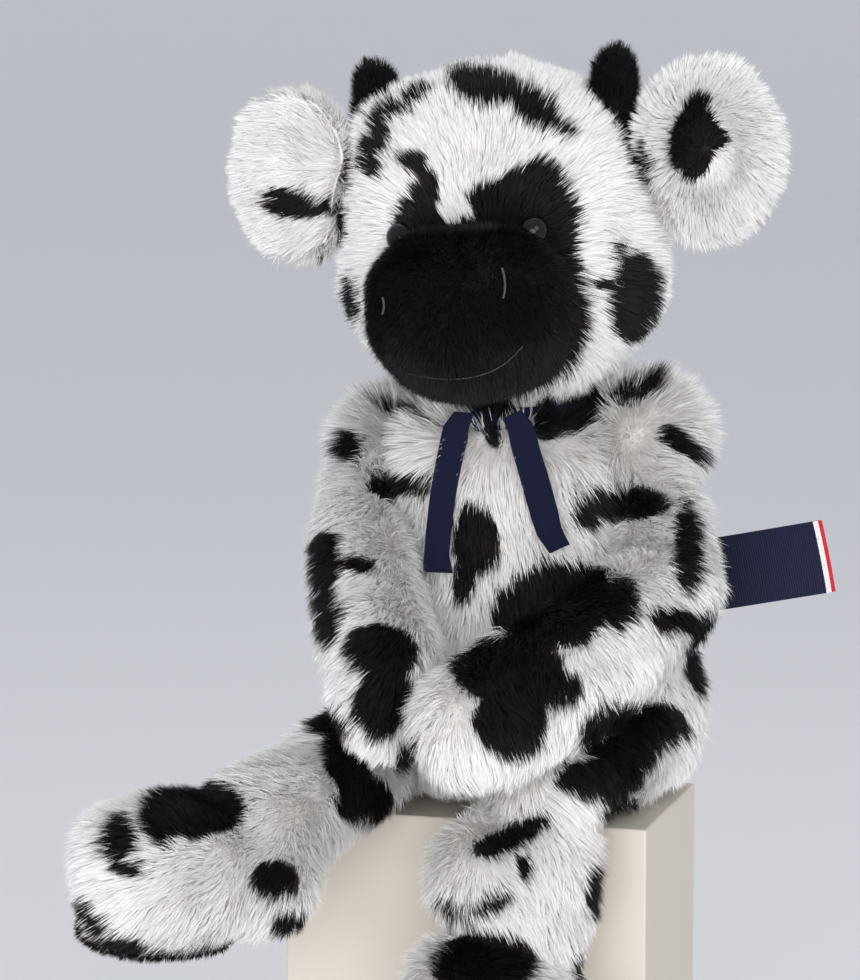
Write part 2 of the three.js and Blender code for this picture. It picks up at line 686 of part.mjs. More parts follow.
pieces.head_skin = mainBody(cut(
  headForm(0), headForm(-longPlush), rod(headAt, neck, neckHole.radius, head.sides),
  ...bothSides.map((side) => socket(tiltedPoint(earPivot(side)), earStalk.radius + seam, earStalk.sides)),
  ...bothSides.map(eyePocket),
  ...bothSides.map(washerPocket),
));
pieces.head_filling = mainBody(cut(headForm(-longPlush - seam), ...bothSides.map(washerPocket)));
const aroundMuzzle = [headForm(seam), ...bothSides.map(eyeRoom)];
pieces.muzzle_skin = mainBody(cut(muzzleForm(0), muzzleForm(-shortPlush), ...aroundMuzzle));
pieces.muzzle_filling = mainBody(cut(muzzleForm(-shortPlush - seam), ...aroundMuzzle));

for (const side of bothSides) {
  pieces[`eye_${side}`] = eyeForm(side);
  pieces[`eye_washer_${side}`] = washerForm(side);
  pieces[`horn_${side}_skin`] = mainBody(cut(hornForm(side, 0), hornForm(side, -shortPlush), headForm(seam)));
  pieces[`horn_${side}_filling`] = mainBody(cut(hornForm(side, -shortPlush - seam), headForm(seam)));
  const { back, front } = earParts(side);
  pieces[`ear_${side}_back`] = mainBody(back);
  pieces[`ear_${side}_front`] = mainBody(front);
  pieces[`ribbon_tail_${side}`] = ribbonTail(side);
}
pieces.neck_ribbon = mainBody(cut(join(ribbonLoop(), knotForm()), torsoForm(seam / 2)));
pieces.side_label = mainBody(labelForm());
pieces.tail_cord = mainBody(cut(
  tailForm(tailPlaceShares, tail.radius, tail.steps),
  ...tail.sweep.map((degrees) => turned(cut(torsoForm(seam), tailSocket), tailRoot(), upright, -degrees)),
));
pieces.tail_tuft = mainBody(cut(
  tailForm(tuftPlaceShares, tail.tuftRadius, tail.tuftSteps),
  tailForm(tailPlaceShares, tail.radius + seam, tail.steps),
));

// Finishes
const finishes = {
  plush: { color: 0xe9e4de, roughness: 0.95, metalness: 0 },
  blackPlush: { color: 0x0d0c0d, roughness: 0.9, metalness: 0 },
  eye: { color: 0x050505, roughness: 0.08, metalness: 0 },
  washer: { color: 0xdedede, roughness: 0.5, metalness: 0 },
  ribbon: { color: 0x12183a, roughness: 0.6, metalness: 0 },
  fibre: { color: 0xf4f4f2, roughness: 1, metalness: 0 },
  bag: { color: 0xd8d2c4, roughness: 0.9, metalness: 0 },
};
const finishOf = (name) => {
  if (name.endsWith('filling')) return 'fibre';
  if (name.startsWith('eye_washer')) return 'washer';
  if (name.startsWith('eye')) return 'eye';
  if (/^(muzzle|horn|sole)|tuft/.test(name)) return 'blackPlush';
  if (name === 'pellet_bag') return 'bag';
  if (/ribbon|label/.test(name)) return 'ribbon';
  return 'plush';
};

const cow = new THREE.Group();
for (const [name, shape] of Object.entries(pieces)) {
  const { vertProperties, triVerts } = shape.getMesh();
  const geometry = new THREE.BufferGeometry();
  geometry.setAttribute('position', new THREE.BufferAttribute(new Float32Array(vertProperties), 3));
  geometry.setIndex(new THREE.BufferAttribute(new Uint32Array(triVerts), 1));
  geometry.computeVertexNormals();
  const mesh = new THREE.Mesh(geometry, new THREE.MeshStandardMaterial(finishes[finishOf(name)]));
  mesh.name = name;
  cow.add(mesh);
}

export default cow;
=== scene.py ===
# A plush cow that sits on an edge with its hands in its lap.
# Metres, +Z up. The cow faces -Y, and its own left is +X.
import json
import math

import bpy
import numpy as np
from mathutils import Matrix, Vector
from mathutils.bvhtree import BVHTree
from mathutils.kdtree import KDTree


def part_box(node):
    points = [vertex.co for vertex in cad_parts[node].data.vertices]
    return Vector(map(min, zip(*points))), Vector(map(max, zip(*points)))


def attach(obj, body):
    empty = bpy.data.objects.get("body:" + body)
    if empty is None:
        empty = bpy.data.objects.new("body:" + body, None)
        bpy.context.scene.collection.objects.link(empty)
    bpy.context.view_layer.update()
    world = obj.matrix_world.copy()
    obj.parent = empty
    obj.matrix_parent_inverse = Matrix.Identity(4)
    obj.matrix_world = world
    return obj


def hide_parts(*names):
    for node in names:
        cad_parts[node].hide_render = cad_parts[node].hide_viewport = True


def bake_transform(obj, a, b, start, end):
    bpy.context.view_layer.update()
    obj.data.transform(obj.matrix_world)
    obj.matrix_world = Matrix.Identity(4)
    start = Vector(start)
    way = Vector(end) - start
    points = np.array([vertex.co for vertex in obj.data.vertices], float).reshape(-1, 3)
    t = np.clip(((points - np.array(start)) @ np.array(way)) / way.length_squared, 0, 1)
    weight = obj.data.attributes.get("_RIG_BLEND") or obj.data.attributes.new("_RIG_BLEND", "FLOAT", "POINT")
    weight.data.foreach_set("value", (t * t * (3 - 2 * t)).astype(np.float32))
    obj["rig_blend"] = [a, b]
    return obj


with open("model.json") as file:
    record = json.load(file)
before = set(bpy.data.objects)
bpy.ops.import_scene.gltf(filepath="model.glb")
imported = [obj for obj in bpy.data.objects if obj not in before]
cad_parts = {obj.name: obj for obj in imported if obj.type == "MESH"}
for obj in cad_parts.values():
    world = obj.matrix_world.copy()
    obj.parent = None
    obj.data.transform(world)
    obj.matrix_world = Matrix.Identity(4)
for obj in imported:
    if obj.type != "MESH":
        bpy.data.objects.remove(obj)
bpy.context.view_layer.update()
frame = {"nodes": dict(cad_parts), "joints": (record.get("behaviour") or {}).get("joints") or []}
scene = bpy.context.scene
jointAt = {joint["name"]: Vector(joint["pos_m"]) for joint in frame["joints"]}
print("frame loaded")

# The camera stands where the photograph was taken from
shot = {
    "azimuth": 16, "elevation": 8,  # degrees
    "distance": 1.4,
    "pixelsPerMetre": 2850,  # at the toy
    "size": (860, 980),
    "originPixel": (525, 790),  # where the middle of the seat lies
}
turn, rise = math.radians(shot["azimuth"]), math.radians(shot["elevation"])
toCamera = Vector((math.sin(turn) * math.cos(rise), -math.cos(turn) * math.cos(rise), math.sin(rise)))
cameraRight = Vector((math.cos(turn), math.sin(turn), 0))
cameraUp = toCamera.cross(cameraRight)
cameraAt = (
    cameraRight * ((shot["size"][0] / 2 - shot["originPixel"][0]) / shot["pixelsPerMetre"])
    + cameraUp * ((shot["originPixel"][1] - shot["size"][1] / 2) / shot["pixelsPerMetre"])
    + toCamera * shot["distance"]
)
focalPixels = shot["pixelsPerMetre"] * shot["distance"]


def addCamera():
    bpy.ops.object.camera_add(location=cameraAt)
    camera = bpy.context.object
    camera.name = "photographCamera"
    camera.rotation_euler = Matrix((cameraRight, cameraUp, toCamera)).transposed().to_euler()
    camera.data.lens = camera.data.sensor_width * focalPixels / max(shot["size"])
    scene.camera = camera


def pixelsOf(points):
    # where points lie in the photograph, and how far they are from the camera
    away = points - np.array(cameraAt)
    depth = -(away @ np.array(toCamera))
    x = shot["size"][0] / 2 + focalPixels * (away @ np.array(cameraRight)) / depth
    y = shot["size"][1] / 2 - focalPixels * (away @ np.array(cameraUp)) / depth
    return x, y, depth


def rayThrough(x, y):
    return (
        cameraRight * ((x - shot["size"][0] / 2) / focalPixels)
        + cameraUp * ((shot["size"][1] / 2 - y) / focalPixels)
        - toCamera
    ).normalized()


def surfaceAt(tree, x, y):
    # the point of a surface seen at a pixel, or the nearest one to that line of sight
    ray = rayThrough(x, y)
    point, normal, _, _ = tree.ray_cast(cameraAt, ray)
    if point is None:
        point, normal = cameraAt + ray * shot["distance"], None
        for _ in range(6):
            point, normal, _, _ = tree.find_nearest(point)
            point = cameraAt + ray * (point - cameraAt).dot(ray)
        point, normal, _, _ = tree.find_nearest(point)
    return point, normal


addCamera()

# Mesh helpers


def onlyThis(piece):
    bpy.ops.object.select_all(action="DESELECT")
    piece.select_set(True)
    bpy.context.view_layer.objects.active = piece
    return piece


def applied(piece, kind, **settings):
    onlyThis(piece)
    modifier = piece.modifiers.new(kind.lower(), kind)
    for name, value in settings.items():
        setattr(modifier, name, value)
    bpy.ops.object.modifier_apply(modifier=modifier.name)
    return piece


def inEditMode(piece, *steps):
    onlyThis(piece)
    bpy.ops.object.mode_set(mode="EDIT")
    bpy.ops.mesh.select_all(action="SELECT")
    for step in steps:
        step()
    bpy.ops.object.mode_set(mode="OBJECT")
    return piece


def joined(name, pieces):
    bpy.ops.object.select_all(action="DESELECT")
    for piece in pieces:
        piece.select_set(True)
    bpy.context.view_layer.objects.active = pieces[0]
    bpy.ops.object.join()
    whole = bpy.context.object
    whole.name = whole.data.name = name
    return whole


def merged():
    bpy.ops.mesh.remove_doubles(threshold=1e-6)


def nodeCopy(name, nodes, balls=()):
    # the CAD solids as one new mesh, with balls that fill it out at its roots
    pieces = []
    for node in nodes:
        piece = bpy.data.objects.new(name, frame["nodes"][node].data.copy())
        scene.collection.objects.link(piece)
        pieces.append(piece)
    for centre, radius in balls:
        bpy.ops.mesh.primitive_uv_sphere_add(segments=24, ring_count=16, radius=radius, location=centre)
        pieces.append(bpy.context.object)
    whole = joined(name, pieces)
    whole.data.materials.clear()
    for attribute in [a.name for a in whole.data.attributes if a.name.startswith("UV")]:
        whole.data.attributes.remove(whole.data.attributes[attribute])
    return inEditMode(whole, merged)


def places(piece):
    spots = np.empty(len(piece.data.vertices) * 3)
    piece.data.vertices.foreach_get("co", spots)
    return spots.reshape(-1, 3)


def setPlaces(piece, points):
    piece.data.vertices.foreach_set("co", points.ravel())
    piece.data.update()


def normalsOf(piece):
    normals = np.empty(len(piece.data.vertices) * 3, np.float32)
    piece.data.vertex_normals.foreach_get("vector", normals)
    return normals.reshape(-1, 3).astype(float)


def treeOf(piece, out=0):
    # a piece's surface, or one that lies further out by that much
    faces = [tuple(face.vertices) for face in piece.data.polygons]
    return BVHTree.FromPolygons([Vector(point) for point in places(piece) + normalsOf(piece) * out], faces)


def unit(vectors):
    return vectors / np.maximum(np.linalg.norm(vectors, axis=1, keepdims=True), 1e-12)


def noiseAt(points, size, seed):
    # smooth noise from -1 to 1 that repeats at every run
    cell = np.floor(points / size).astype(np.int64)
    part = points / size - cell
    part = part * part * (3 - 2 * part)
    total = np.zeros(len(points))
    for corner in np.ndindex(2, 2, 2):
        x, y, z = (cell + np.array(corner)).T
        mixed = (x * 73856093) ^ (y * 19349663) ^ (z * 83492791) ^ (seed * 26544357)
        mixed = (mixed ^ (mixed >> 13)) & 0xFFFFFFFF
        mixed = (mixed * 1274126177) & 0xFFFFFFFF
        mixed = (mixed ^ (mixed >> 16)) & 0xFFFF
        share = np.prod(np.where(np.array(corner) == 1, part, 1 - part), axis=1)
        total += (mixed / 32767.5 - 1) * share
    return total


def noiseVectors(points, size, seed):
    return np.stack([noiseAt(points, size, seed + axis) for axis in range(3)], axis=1)


# Materials


def newMaterial(name):
    material = bpy.data.materials.new(name)
    material.use_nodes = True
    tree = material.node_tree
    return material, tree.nodes, tree.links, tree.nodes["Principled BSDF"]


def rampNode(nodes, stops, interpolation="LINEAR"):
    ramp = nodes.new("ShaderNodeValToRGB")
    ramp.color_ramp.interpolation = interpolation
    elements = ramp.color_ramp.elements
    while len(elements) > 1:
        elements.remove(elements[-1])
    elements[0].position, elements[0].color = stops[0][0], (*stops[0][1], 1)
    for place, colour in stops[1:]:
        elements.new(place).color = (*colour, 1)
    return ramp


# The pile's colours lie in columns across its own map, from root to tip up the map; the roots are a little
# darker than the tips, partly the strands' own colour and partly painted shade deep in the pile
pile = {
    "columns": 8,
    "tips": [
        (0.94, 0.925, 0.905), (0.92, 0.90, 0.88), (0.90, 0.87, 0.845), (0.87, 0.83, 0.80),
        (0.10, 0.066, 0.050), (0.0085, 0.008, 0.009), (0.005, 0.005, 0.006), (0.014, 0.012, 0.013),
    ],
    "roots": [
        (0.93, 0.905, 0.88), (0.91, 0.88, 0.855), (0.89, 0.855, 0.825), (0.86, 0.82, 0.785),
        (0.04, 0.028, 0.022), (0.004, 0.004, 0.004), (0.003, 0.003, 0.003), (0.005, 0.005, 0.005),
    ],
    "whiteRoughness": 0.8, "blackRoughness": 0.6, "gloss": 0.2,
}


def preset(node, values):
    for name, value in values.items():
        node.inputs[name].default_value = value


def mapNodes(nodes, links, name):
    # a map of the piece's own: the whole of it, across it and up it
    ownMap, split = nodes.new("ShaderNodeUVMap"), nodes.new("ShaderNodeSeparateXYZ")
    ownMap.uv_map = name
    links.new(ownMap.outputs["UV"], split.inputs[0])
    return ownMap.outputs["UV"], split.outputs["X"], split.outputs["Y"]


def noiseNode(nodes, links, scale):
    # noise by the place on the piece
    where, noise = nodes.new("ShaderNodeTexCoord"), nodes.new("ShaderNodeTexNoise")
    preset(noise, {"Scale": scale})
    links.new(where.outputs["Object"], noise.inputs["Vector"])
    return noise.outputs["Fac"]


def mixNode(nodes, links, colours, blend="MIX"):
    # the share's socket and the mixed colour of two nodes
    mix = nodes.new("ShaderNodeMix")
    mix.data_type, mix.blend_type = "RGBA", blend
    for colour, socket in zip(colours, [s for s in mix.inputs if s.type == "RGBA"]):
        links.new(colour.outputs["Color"], socket)
    return mix.inputs["Factor"], [s for s in mix.outputs if s.type == "RGBA"][0]


def addRelief(nodes, links, shader, height, strength, distance):
    bump = nodes.new("ShaderNodeBump")
    preset(bump, {"Strength": strength, "Distance": distance})
    links.new(height, bump.inputs["Height"])
    links.new(bump.outputs["Normal"], shader.inputs["Normal"])


def pileMaterial():
    material, nodes, links, shader = newMaterial("pile")
    _, across, up = mapNodes(nodes, links, "OFBake")
    count = pile["columns"]
    ramps = [
        rampNode(nodes, [(n / count, colour) for n, colour in enumerate(pile[which])], "CONSTANT")
        for which in ("roots", "tips")
    ]
    rough = rampNode(nodes, [
        (0.0, (pile["whiteRoughness"],) * 3), (4 / count, (pile["blackRoughness"],) * 3),
    ], "CONSTANT")
    for ramp in (*ramps, rough):
        links.new(across, ramp.inputs[0])
    # up each strand the root colour, darkened partly as painted shade, gives way to the tip colour
    height = rampNode(nodes, [(0.0, (0, 0, 0)), (0.55, (0.8, 0.8, 0.8)), (1.0, (1, 1, 1))])
    links.new(up, height.inputs[0])
    share, colour = mixNode(nodes, links, ramps)
    links.new(height.outputs["Color"], share)
    links.new(colour, shader.inputs["Base Color"])
    links.new(rough.outputs["Color"], shader.inputs["Roughness"])
    preset(shader, {"Specular IOR Level": pile["gloss"]})
    return material


def backingMaterial():
    # the knitted cloth under the pile, dyed where the pile is black
    material, nodes, links, shader = newMaterial("backing")
    tone = nodes.new("ShaderNodeAttribute")
    tone.attribute_name = "tone"
    dyed = rampNode(nodes, [(0.35, (0.92, 0.89, 0.86)), (0.65, (0.008, 0.007, 0.007))])
    links.new(tone.outputs["Fac"], dyed.inputs[0])
    links.new(dyed.outputs["Color"], shader.inputs["Base Color"])
    addRelief(nodes, links, shader, noiseNode(nodes, links, 900), strength=0.4, distance=0.0004)
    preset(shader, {"Roughness": 0.95})
    return material


def threadMaterial(name, colour):
    material, nodes, links, shader = newMaterial(name)
    shade = rampNode(nodes, [(0.3, tuple(0.6 * c for c in colour)), (0.7, colour)])
    links.new(noiseNode(nodes, links, 2500), shade.inputs[0])
    links.new(shade.outputs["Color"], shader.inputs["Base Color"])
    preset(shader, {"Roughness": 0.55})
    return material


def wovenMaterial(name, stops):
    # a close weave across the piece's own map, with colours along it and a finer rib in relief
    material, nodes, links, shader = newMaterial(name)
    ownMap, _, up = mapNodes(nodes, links, "weave")
    along = rampNode(nodes, stops, "CONSTANT")
    links.new(up, along.inputs[0])
    rib, fleck = nodes.new("ShaderNodeTexWave"), nodes.new("ShaderNodeTexNoise")
    rib.bands_direction = "Y"
    preset(rib, {"Scale": 40, "Distortion": 0.6, "Detail": 2})
    preset(fleck, {"Scale": 60})
    for texture in (rib, fleck):
        links.new(ownMap, texture.inputs["Vector"])
    shade = rampNode(nodes, [(0.2, (0.65, 0.65, 0.65)), (0.8, (1.25, 1.25, 1.25))])
    links.new(fleck.outputs["Fac"], shade.inputs[0])
    share, colour = mixNode(nodes, links, (along, shade), "MULTIPLY")
    share.default_value = 1
    links.new(colour, shader.inputs["Base Color"])
    addRelief(nodes, links, shader, rib.outputs["Fac"], strength=0.5, distance=0.0003)
    preset(shader, {"Roughness": 0.6, "Specular IOR Level": 0.2})
    return material


def plainMaterial(name, colour, roughness):
    material, _, _, shader = newMaterial(name)
    preset(shader, {"Base Color": (*colour, 1), "Roughness": roughness})
    return material


def mouldedMaterial(name, look):
    # moulded plastic with faint scuffs in its gloss
    material, nodes, links, shader = newMaterial(name)
    smooth, worn = look["roughness"], look["roughness"] + look["wear"]
    gloss = rampNode(nodes, [(0.35, (smooth,) * 3), (0.75, (worn,) * 3)])
    links.new(noiseNode(nodes, links, 700), gloss.inputs[0])
    links.new(gloss.outputs["Color"], shader.inputs["Roughness"])
    preset(shader, {"Base Color": (*look["colour"], 1), "Specular IOR Level": 0.3})
    return material


furFinish, backing = pileMaterial(), backingMaterial()
print("materials made")

# The stuffed covers

stuffing = {"voxel": 0.004, "pressure": 4, "frames": 20, "cap": 0.0022}
voxels = {  # finer ones for the small covers
    "muzzle": 0.0025, "neck": 0.003, "ear": 0.0025, "horn": 0.002, "sole": 0.0014, "tail": 0.0016,
    "tuft": 0.002,
}
layers = {"ear": 0.0042, "tail": 0.002, "tuft": 0.003}  # how far the pile's backing lies inside the solids


def swollen(piece, cap):
    # the filling presses the cover out until the seams hold it
    rest = places(piece)
    onlyThis(piece)
    cloth = piece.modifiers.new("cloth", "CLOTH")
    cloth.settings.use_pressure = True
    cloth.settings.uniform_pressure_force = stuffing["pressure"]
    cloth.settings.effector_weights.gravity = 0
    cloth.collision_settings.use_collision = False
    for step in range(1, stuffing["frames"] + 1):
        scene.frame_set(step)
    bpy.ops.object.modifier_apply(modifier=cloth.name)
    scene.frame_set(1)
    moved = places(piece) - rest
    far = np.linalg.norm(moved, axis=1, keepdims=True)
    setPlaces(piece, rest + moved * np.minimum(1, cap / np.maximum(far, 1e-9)))
    return piece


def cover(name, nodes, balls=(), hull=False, voxel=None, smoothing=8, shrink=0, cap=None):
    piece = nodeCopy(name, nodes, balls)
    if hull:
        inEditMode(piece, lambda: bpy.ops.mesh.convex_hull())
    applied(piece, "REMESH", mode="VOXEL", voxel_size=voxel or stuffing["voxel"])
    applied(piece, "SMOOTH", factor=0.5, iterations=smoothing)
    if shrink:
        setPlaces(piece, places(piece) - normalsOf(piece) * shrink)
        applied(piece, "SMOOTH", factor=0.5, iterations=3)
    if cap is not None:
        swollen(piece, cap)
    applied(piece, "SUBSURF", levels=1, render_levels=1)
    onlyThis(piece)
    bpy.ops.object.shade_smooth()
    piece.data.materials.append(backing)
    return piece


limbs = {"shoulderBall": 0.0145, "hipBall": 0.017, "kneeBall": 0.0165}
plump = {  # where the stuffing pushes the covers out: a centre and a radius
    "crown": ((-0.004, -0.012, 0.204), 0.0445),
    "chin": ((-0.005, -0.062, 0.1710), 0.0235),
    "temple": ((-0.0423, -0.016, 0.2286), 0.0095),
    "heel": ((-0.058, -0.119, -0.0085), 0.0155),
    "calf": ((0.013, -0.082, -0.012), 0.0200),
    "shoulder": ((0.041, 0.000, 0.1245), 0.0185),
}
collar = {"middle": (-0.004, -0.0146, 0.1265), "across": 0.0255, "radius": 0.0065, "balls": 16}
collarBalls = [
    (Vector(collar["middle"]) + Vector((math.cos(around), math.sin(around), 0)) * collar["across"],
     collar["radius"])
    for around in np.linspace(0, 2 * math.pi, collar["balls"], endpoint=False)
]
sides = ("left", "right")
washersAt = [sum(map(Vector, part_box(f"eye_washer_{side}")), Vector()) / 2 for side in sides]
brow = {"back": 0.0035, "radius": 0.0092}  # covers a washer
browBalls = [(place + Vector((0, brow["back"], 0)), brow["radius"]) for place in washersAt]
covers = {
    "torso": cover("torso_cover", ["torso_filling"], collarBalls, hull=True, cap=stuffing["cap"]),
    "head": cover("head_cover", ["head_filling"], [plump["crown"], plump["temple"], *browBalls],
                  hull=True, cap=stuffing["cap"]),
    "muzzle": cover("muzzle_cover", ["muzzle_filling"], [plump["chin"]],
                    hull=True, voxel=voxels["muzzle"], smoothing=14),
    "neck": cover("neck_cover", ["neck_filling"], voxel=voxels["neck"]),
}
for side in sides:
    covers[f"arm_{side}"] = cover(
        f"arm_{side}_cover", [f"arm_{side}_filling"],
        balls=[(jointAt[f"shoulder_{side}"], limbs["shoulderBall"])] + [plump["shoulder"]] * (side == "left"),
        cap=stuffing["cap"])
    covers[f"leg_{side}"] = cover(
        f"leg_{side}_cover", [f"thigh_{side}_filling", f"shin_{side}_filling"],
        balls=[(jointAt[f"hip_{side}"], limbs["hipBall"]), (jointAt[f"knee_{side}"], limbs["kneeBall"]),
               plump["calf" if side == "left" else "heel"]],
        cap=stuffing["cap"])
    covers[f"ear_{side}"] = cover(
        f"ear_{side}_cover", [f"ear_{side}_back", f"ear_{side}_front"],
        voxel=voxels["ear"], smoothing=4, shrink=layers["ear"])
    covers[f"horn_{side}"] = cover(
        f"horn_{side}_cover", [f"horn_{side}_filling"], voxel=voxels["horn"], smoothing=4)
    covers[f"sole_{side}"] = cover(f"sole_{side}_pad", [f"sole_{side}"], voxel=voxels["sole"], smoothing=2)
hang = {"top": -0.028, "bottom": -0.058, "across": 0.008}  # the left foot swings out below its calf
for part in ("leg_left", "sole_left"):
    hung = places(covers[part])
    low = np.clip((hang["top"] - hung[:, 2]) / (hang["top"] - hang["bottom"]), 0, 1)
    hung[:, 0] += hang["across"] * low * low * (3 - 2 * low)
    setPlaces(covers[part], hung)
soleFit = {"share": 0.9, "lift": 0.001}  # the pads sit a little inside the feet's edges
for side in sides:
    pad = places(covers[f"sole_{side}"])
    middle = pad.mean(0)
    pad = middle + (pad - middle) * [soleFit["share"], soleFit["share"], 1]
    setPlaces(covers[f"sole_{side}"], pad + [0, 0, soleFit["lift"]])
covers["tail"] = cover("tail_cover", ["tail_cord"], voxel=voxels["tail"], smoothing=3, shrink=layers["tail"])
covers["tuft"] = cover(
    "tail_tuft_cover", ["tail_tuft"], voxel=voxels["tuft"], smoothing=3, shrink=layers["tuft"])
trees = {name: treeOf(piece) for name, piece in covers.items()}
pileHeight = 0.0068  # of the leaning strands over a cover
furTrees = {name: treeOf(piece, pileHeight) for name, piece in covers.items()}
print("covers stuffed")

# Where the pile is black, with a few spots of painted shade laid as black pile, placed on the photograph as
# turned ovals:
# x, y, half width and half height in pixels, and degrees turned clockwise

spots = {
    "black": [
        # head
        (485, 86, 40, 18, 10), (536, 108, 28, 18, 38), (567, 131, 15, 7, 40), (416, 94, 16, 7, -20),
        (391, 108, 18, 9, -15), (377, 120, 10, 12, 0), (377, 142, 19, 13, -45), (370, 165, 11, 12, 0),
        # the narrow streaks at (348, 170) and (342, 225) are painted shadow between the ear and the head,
        # laid as black pile
        (414, 161, 18, 9, 15), (430, 173, 13, 9, 50), (348, 170, 5, 22, 5), (342, 225, 5, 22, 0),
        (530, 225, 57, 58, 0), (543, 180, 23, 24, 0), (497, 196, 30, 17, 0), (416, 236, 26, 46, 0),
        (424, 192, 17, 16, 0), (480, 272, 104, 55, 0), (478, 320, 113, 80, 0),
        (634, 296, 26, 48, 10), (602, 285, 14, 6, 10), (620, 248, 6, 10, 0), (350, 303, 8, 30, -5),
        (636, 150, 9, 38, -18),
        # ears
        (696, 144, 27, 38, 12), (713, 141, 18, 15, 0), (697, 108, 10, 18, 20), (300, 207, 38, 11, 8),
        (290, 194, 26, 9, 10),
        # chest and sides
        (474, 542, 24, 34, -8), (463, 582, 13, 25, 10), (568, 405, 34, 28, -10), (550, 432, 18, 10, -10),
        # the spot at (492, 402) is partly black pile and partly painted shade under the chin, where the
        # ribbon's ends come out
        (492, 432, 8, 20, -15), (492, 402, 22, 14, 0), (395, 403, 28, 7, 15), (346, 444, 15, 14, 20),
        (638, 387, 30, 10, -15), (655, 375, 12, 8, -20), (686, 444, 30, 12, 42), (707, 655, 20, 44, 8),
        (690, 545, 14, 50, 0),
        # arms and hands
        (622, 505, 48, 17, -2), (588, 517, 17, 14, -35), (677, 622, 26, 14, 15), (556, 606, 66, 45, -14),
        (514, 676, 71, 35, 14), (512, 725, 38, 34, 10), (622, 604, 18, 28, 0), (322, 562, 19, 28, 0),
        (326, 612, 14, 34, 0), (356, 563, 17, 8, 12), (398, 489, 34, 13, 6), (380, 652, 38, 29, 8),
        (384, 700, 30, 44, 12), (407, 758, 8, 18, 20),
        # legs and feet
        (325, 722, 24, 15, 30), (350, 772, 22, 46, -28), (366, 802, 29, 25, 0), (194, 807, 48, 28, 0),
        (160, 815, 22, 27, 0), (117, 838, 16, 26, 0), (126, 870, 17, 9, 10), (274, 882, 24, 20, 0),
        (288, 928, 16, 15, 0), (88, 918, 24, 10, 50), (132, 950, 42, 9, 14), (212, 957, 66, 9, -4),
        (628, 738, 50, 37, 0), (668, 722, 30, 16, 28), (600, 780, 44, 21, 0),
        (626, 822, 20, 26, -20), (600, 893, 13, 28, 0), (510, 838, 42, 13, -24), (526, 868, 9, 14, 0),
        (482, 966, 55, 30, 0), (580, 972, 8, 16, 0), (452, 915, 20, 7, 30), (492, 908, 26, 8, -25),
    ],
    "white": [
        (450, 204, 13, 20, -10), (571, 662, 8, 14, 20), (676, 766, 20, 18, 0),
    ],
}
patches = {
    "edge": 4, "deep": 1.5, "slack": 50,  # pixels, but deep is a share of a spot's size
    "waves": [(0.010, 4.5), (0.0038, 3)],  # the edges' unevenness: its size on the toy and reach in pixels
    "away": -0.3, "over": 0.3,  # where the cover turns from the camera, and how soon the spots end there
    "hiddenSize": 0.03, "hiddenLevel": 0.1, "hiddenEdge": 45, "hiddenFrom": -0.35,  # on the unseen side
}
allBlack = {"muzzle", "horn_left", "horn_right", "sole_left", "sole_right", "tuft"}


def seenThrough(x, y):
    # the cover whose pile shows at a pixel, and how far it is from the camera
    ray, best = rayThrough(x, y), (None, None)
    for part, tree in furTrees.items():
        point, _, _, _ = tree.ray_cast(cameraAt, ray)
        if point is not None and part not in allBlack:
            deep = (cameraAt - point).dot(toCamera)
            if best[0] is None or deep < best[1]:
                best = (part, deep)
    return best


def laidOut(spot):
    # a spot with the covers it lies on and the depths it spans
    x, y, wide, high, turned = spot
    c, s = math.cos(math.radians(turned)), math.sin(math.radians(turned))
    hits = []
    for a, b in ((0, 0), (0.6, 0), (-0.6, 0), (0, 0.6), (0, -0.6)):
        hits.append(seenThrough(x + a * wide * c - b * high * s, y + a * wide * s + b * high * c))
    hits = [hit for hit in hits if hit[0] is not None]
    if not hits:
        part, tree = min(furTrees.items(), key=lambda item: nearLine(item[1], x, y)[1])
        hits = [(part, (cameraAt - nearLine(tree, x, y)[0]).dot(toCamera))]
    deeps = [deep for _, deep in hits]
    return {"at": (x, y), "half": (wide, high), "turn": (c, s), "parts": {part for part, _ in hits},
            "deep": (min(deeps), max(deeps))}


def nearLine(tree, x, y):
    point, _ = surfaceAt(tree, x, y)
    ray = rayThrough(x, y)
    return point, (point - (cameraAt + ray * (point - cameraAt).dot(ray))).length


laid = {kind: [laidOut(spot) for spot in kinds] for kind, kinds in spots.items()}


def toneAt(part, points, normals):
    # 0 where the pile is white and 1 where it is black
    if part in allBlack:
        return np.ones(len(points))
    x, y, depth = pixelsOf(points)
    for size, reach in patches["waves"]:
        x = x + reach * noiseAt(points, size, 11)
        y = y + reach * noiseAt(points, size, 12)
    field = np.full(len(points), -60.0)
    for kind, sign in (("black", 1), ("white", -1)):
        for spot in laid[kind]:
            if part not in spot["parts"]:
                continue
            (spotX, spotY), (wide, high) = spot["at"], spot["half"]
            (c, s), (near, far) = spot["turn"], spot["deep"]
            across = ((x - spotX) * c + (y - spotY) * s) / wide
            down = ((y - spotY) * c - (x - spotX) * s) / high
            inside = (1 - np.sqrt(across**2 + down**2)) * min(wide, high)
            beyond = np.maximum(near - depth, depth - far) * shot["pixelsPerMetre"]
            inside = np.minimum(inside, patches["deep"] * max(wide, high) + patches["slack"] - beyond)
            field = np.maximum(field, inside) if sign > 0 else np.minimum(field, -inside)
    facing = normals @ np.array(toCamera)
    field -= 40 * np.clip((patches["away"] - facing) / patches["over"], 0, 1)
    hidden = (noiseAt(points, patches["hiddenSize"], 5) - patches["hiddenLevel"]) * patches["hiddenEdge"]
    hidden -= 60 * np.clip((facing - patches["hiddenFrom"]) / patches["over"], 0, 1)
    field = np.maximum(field, hidden)
    return np.clip(0.5 + field / (2 * patches["edge"]), 0, 1)


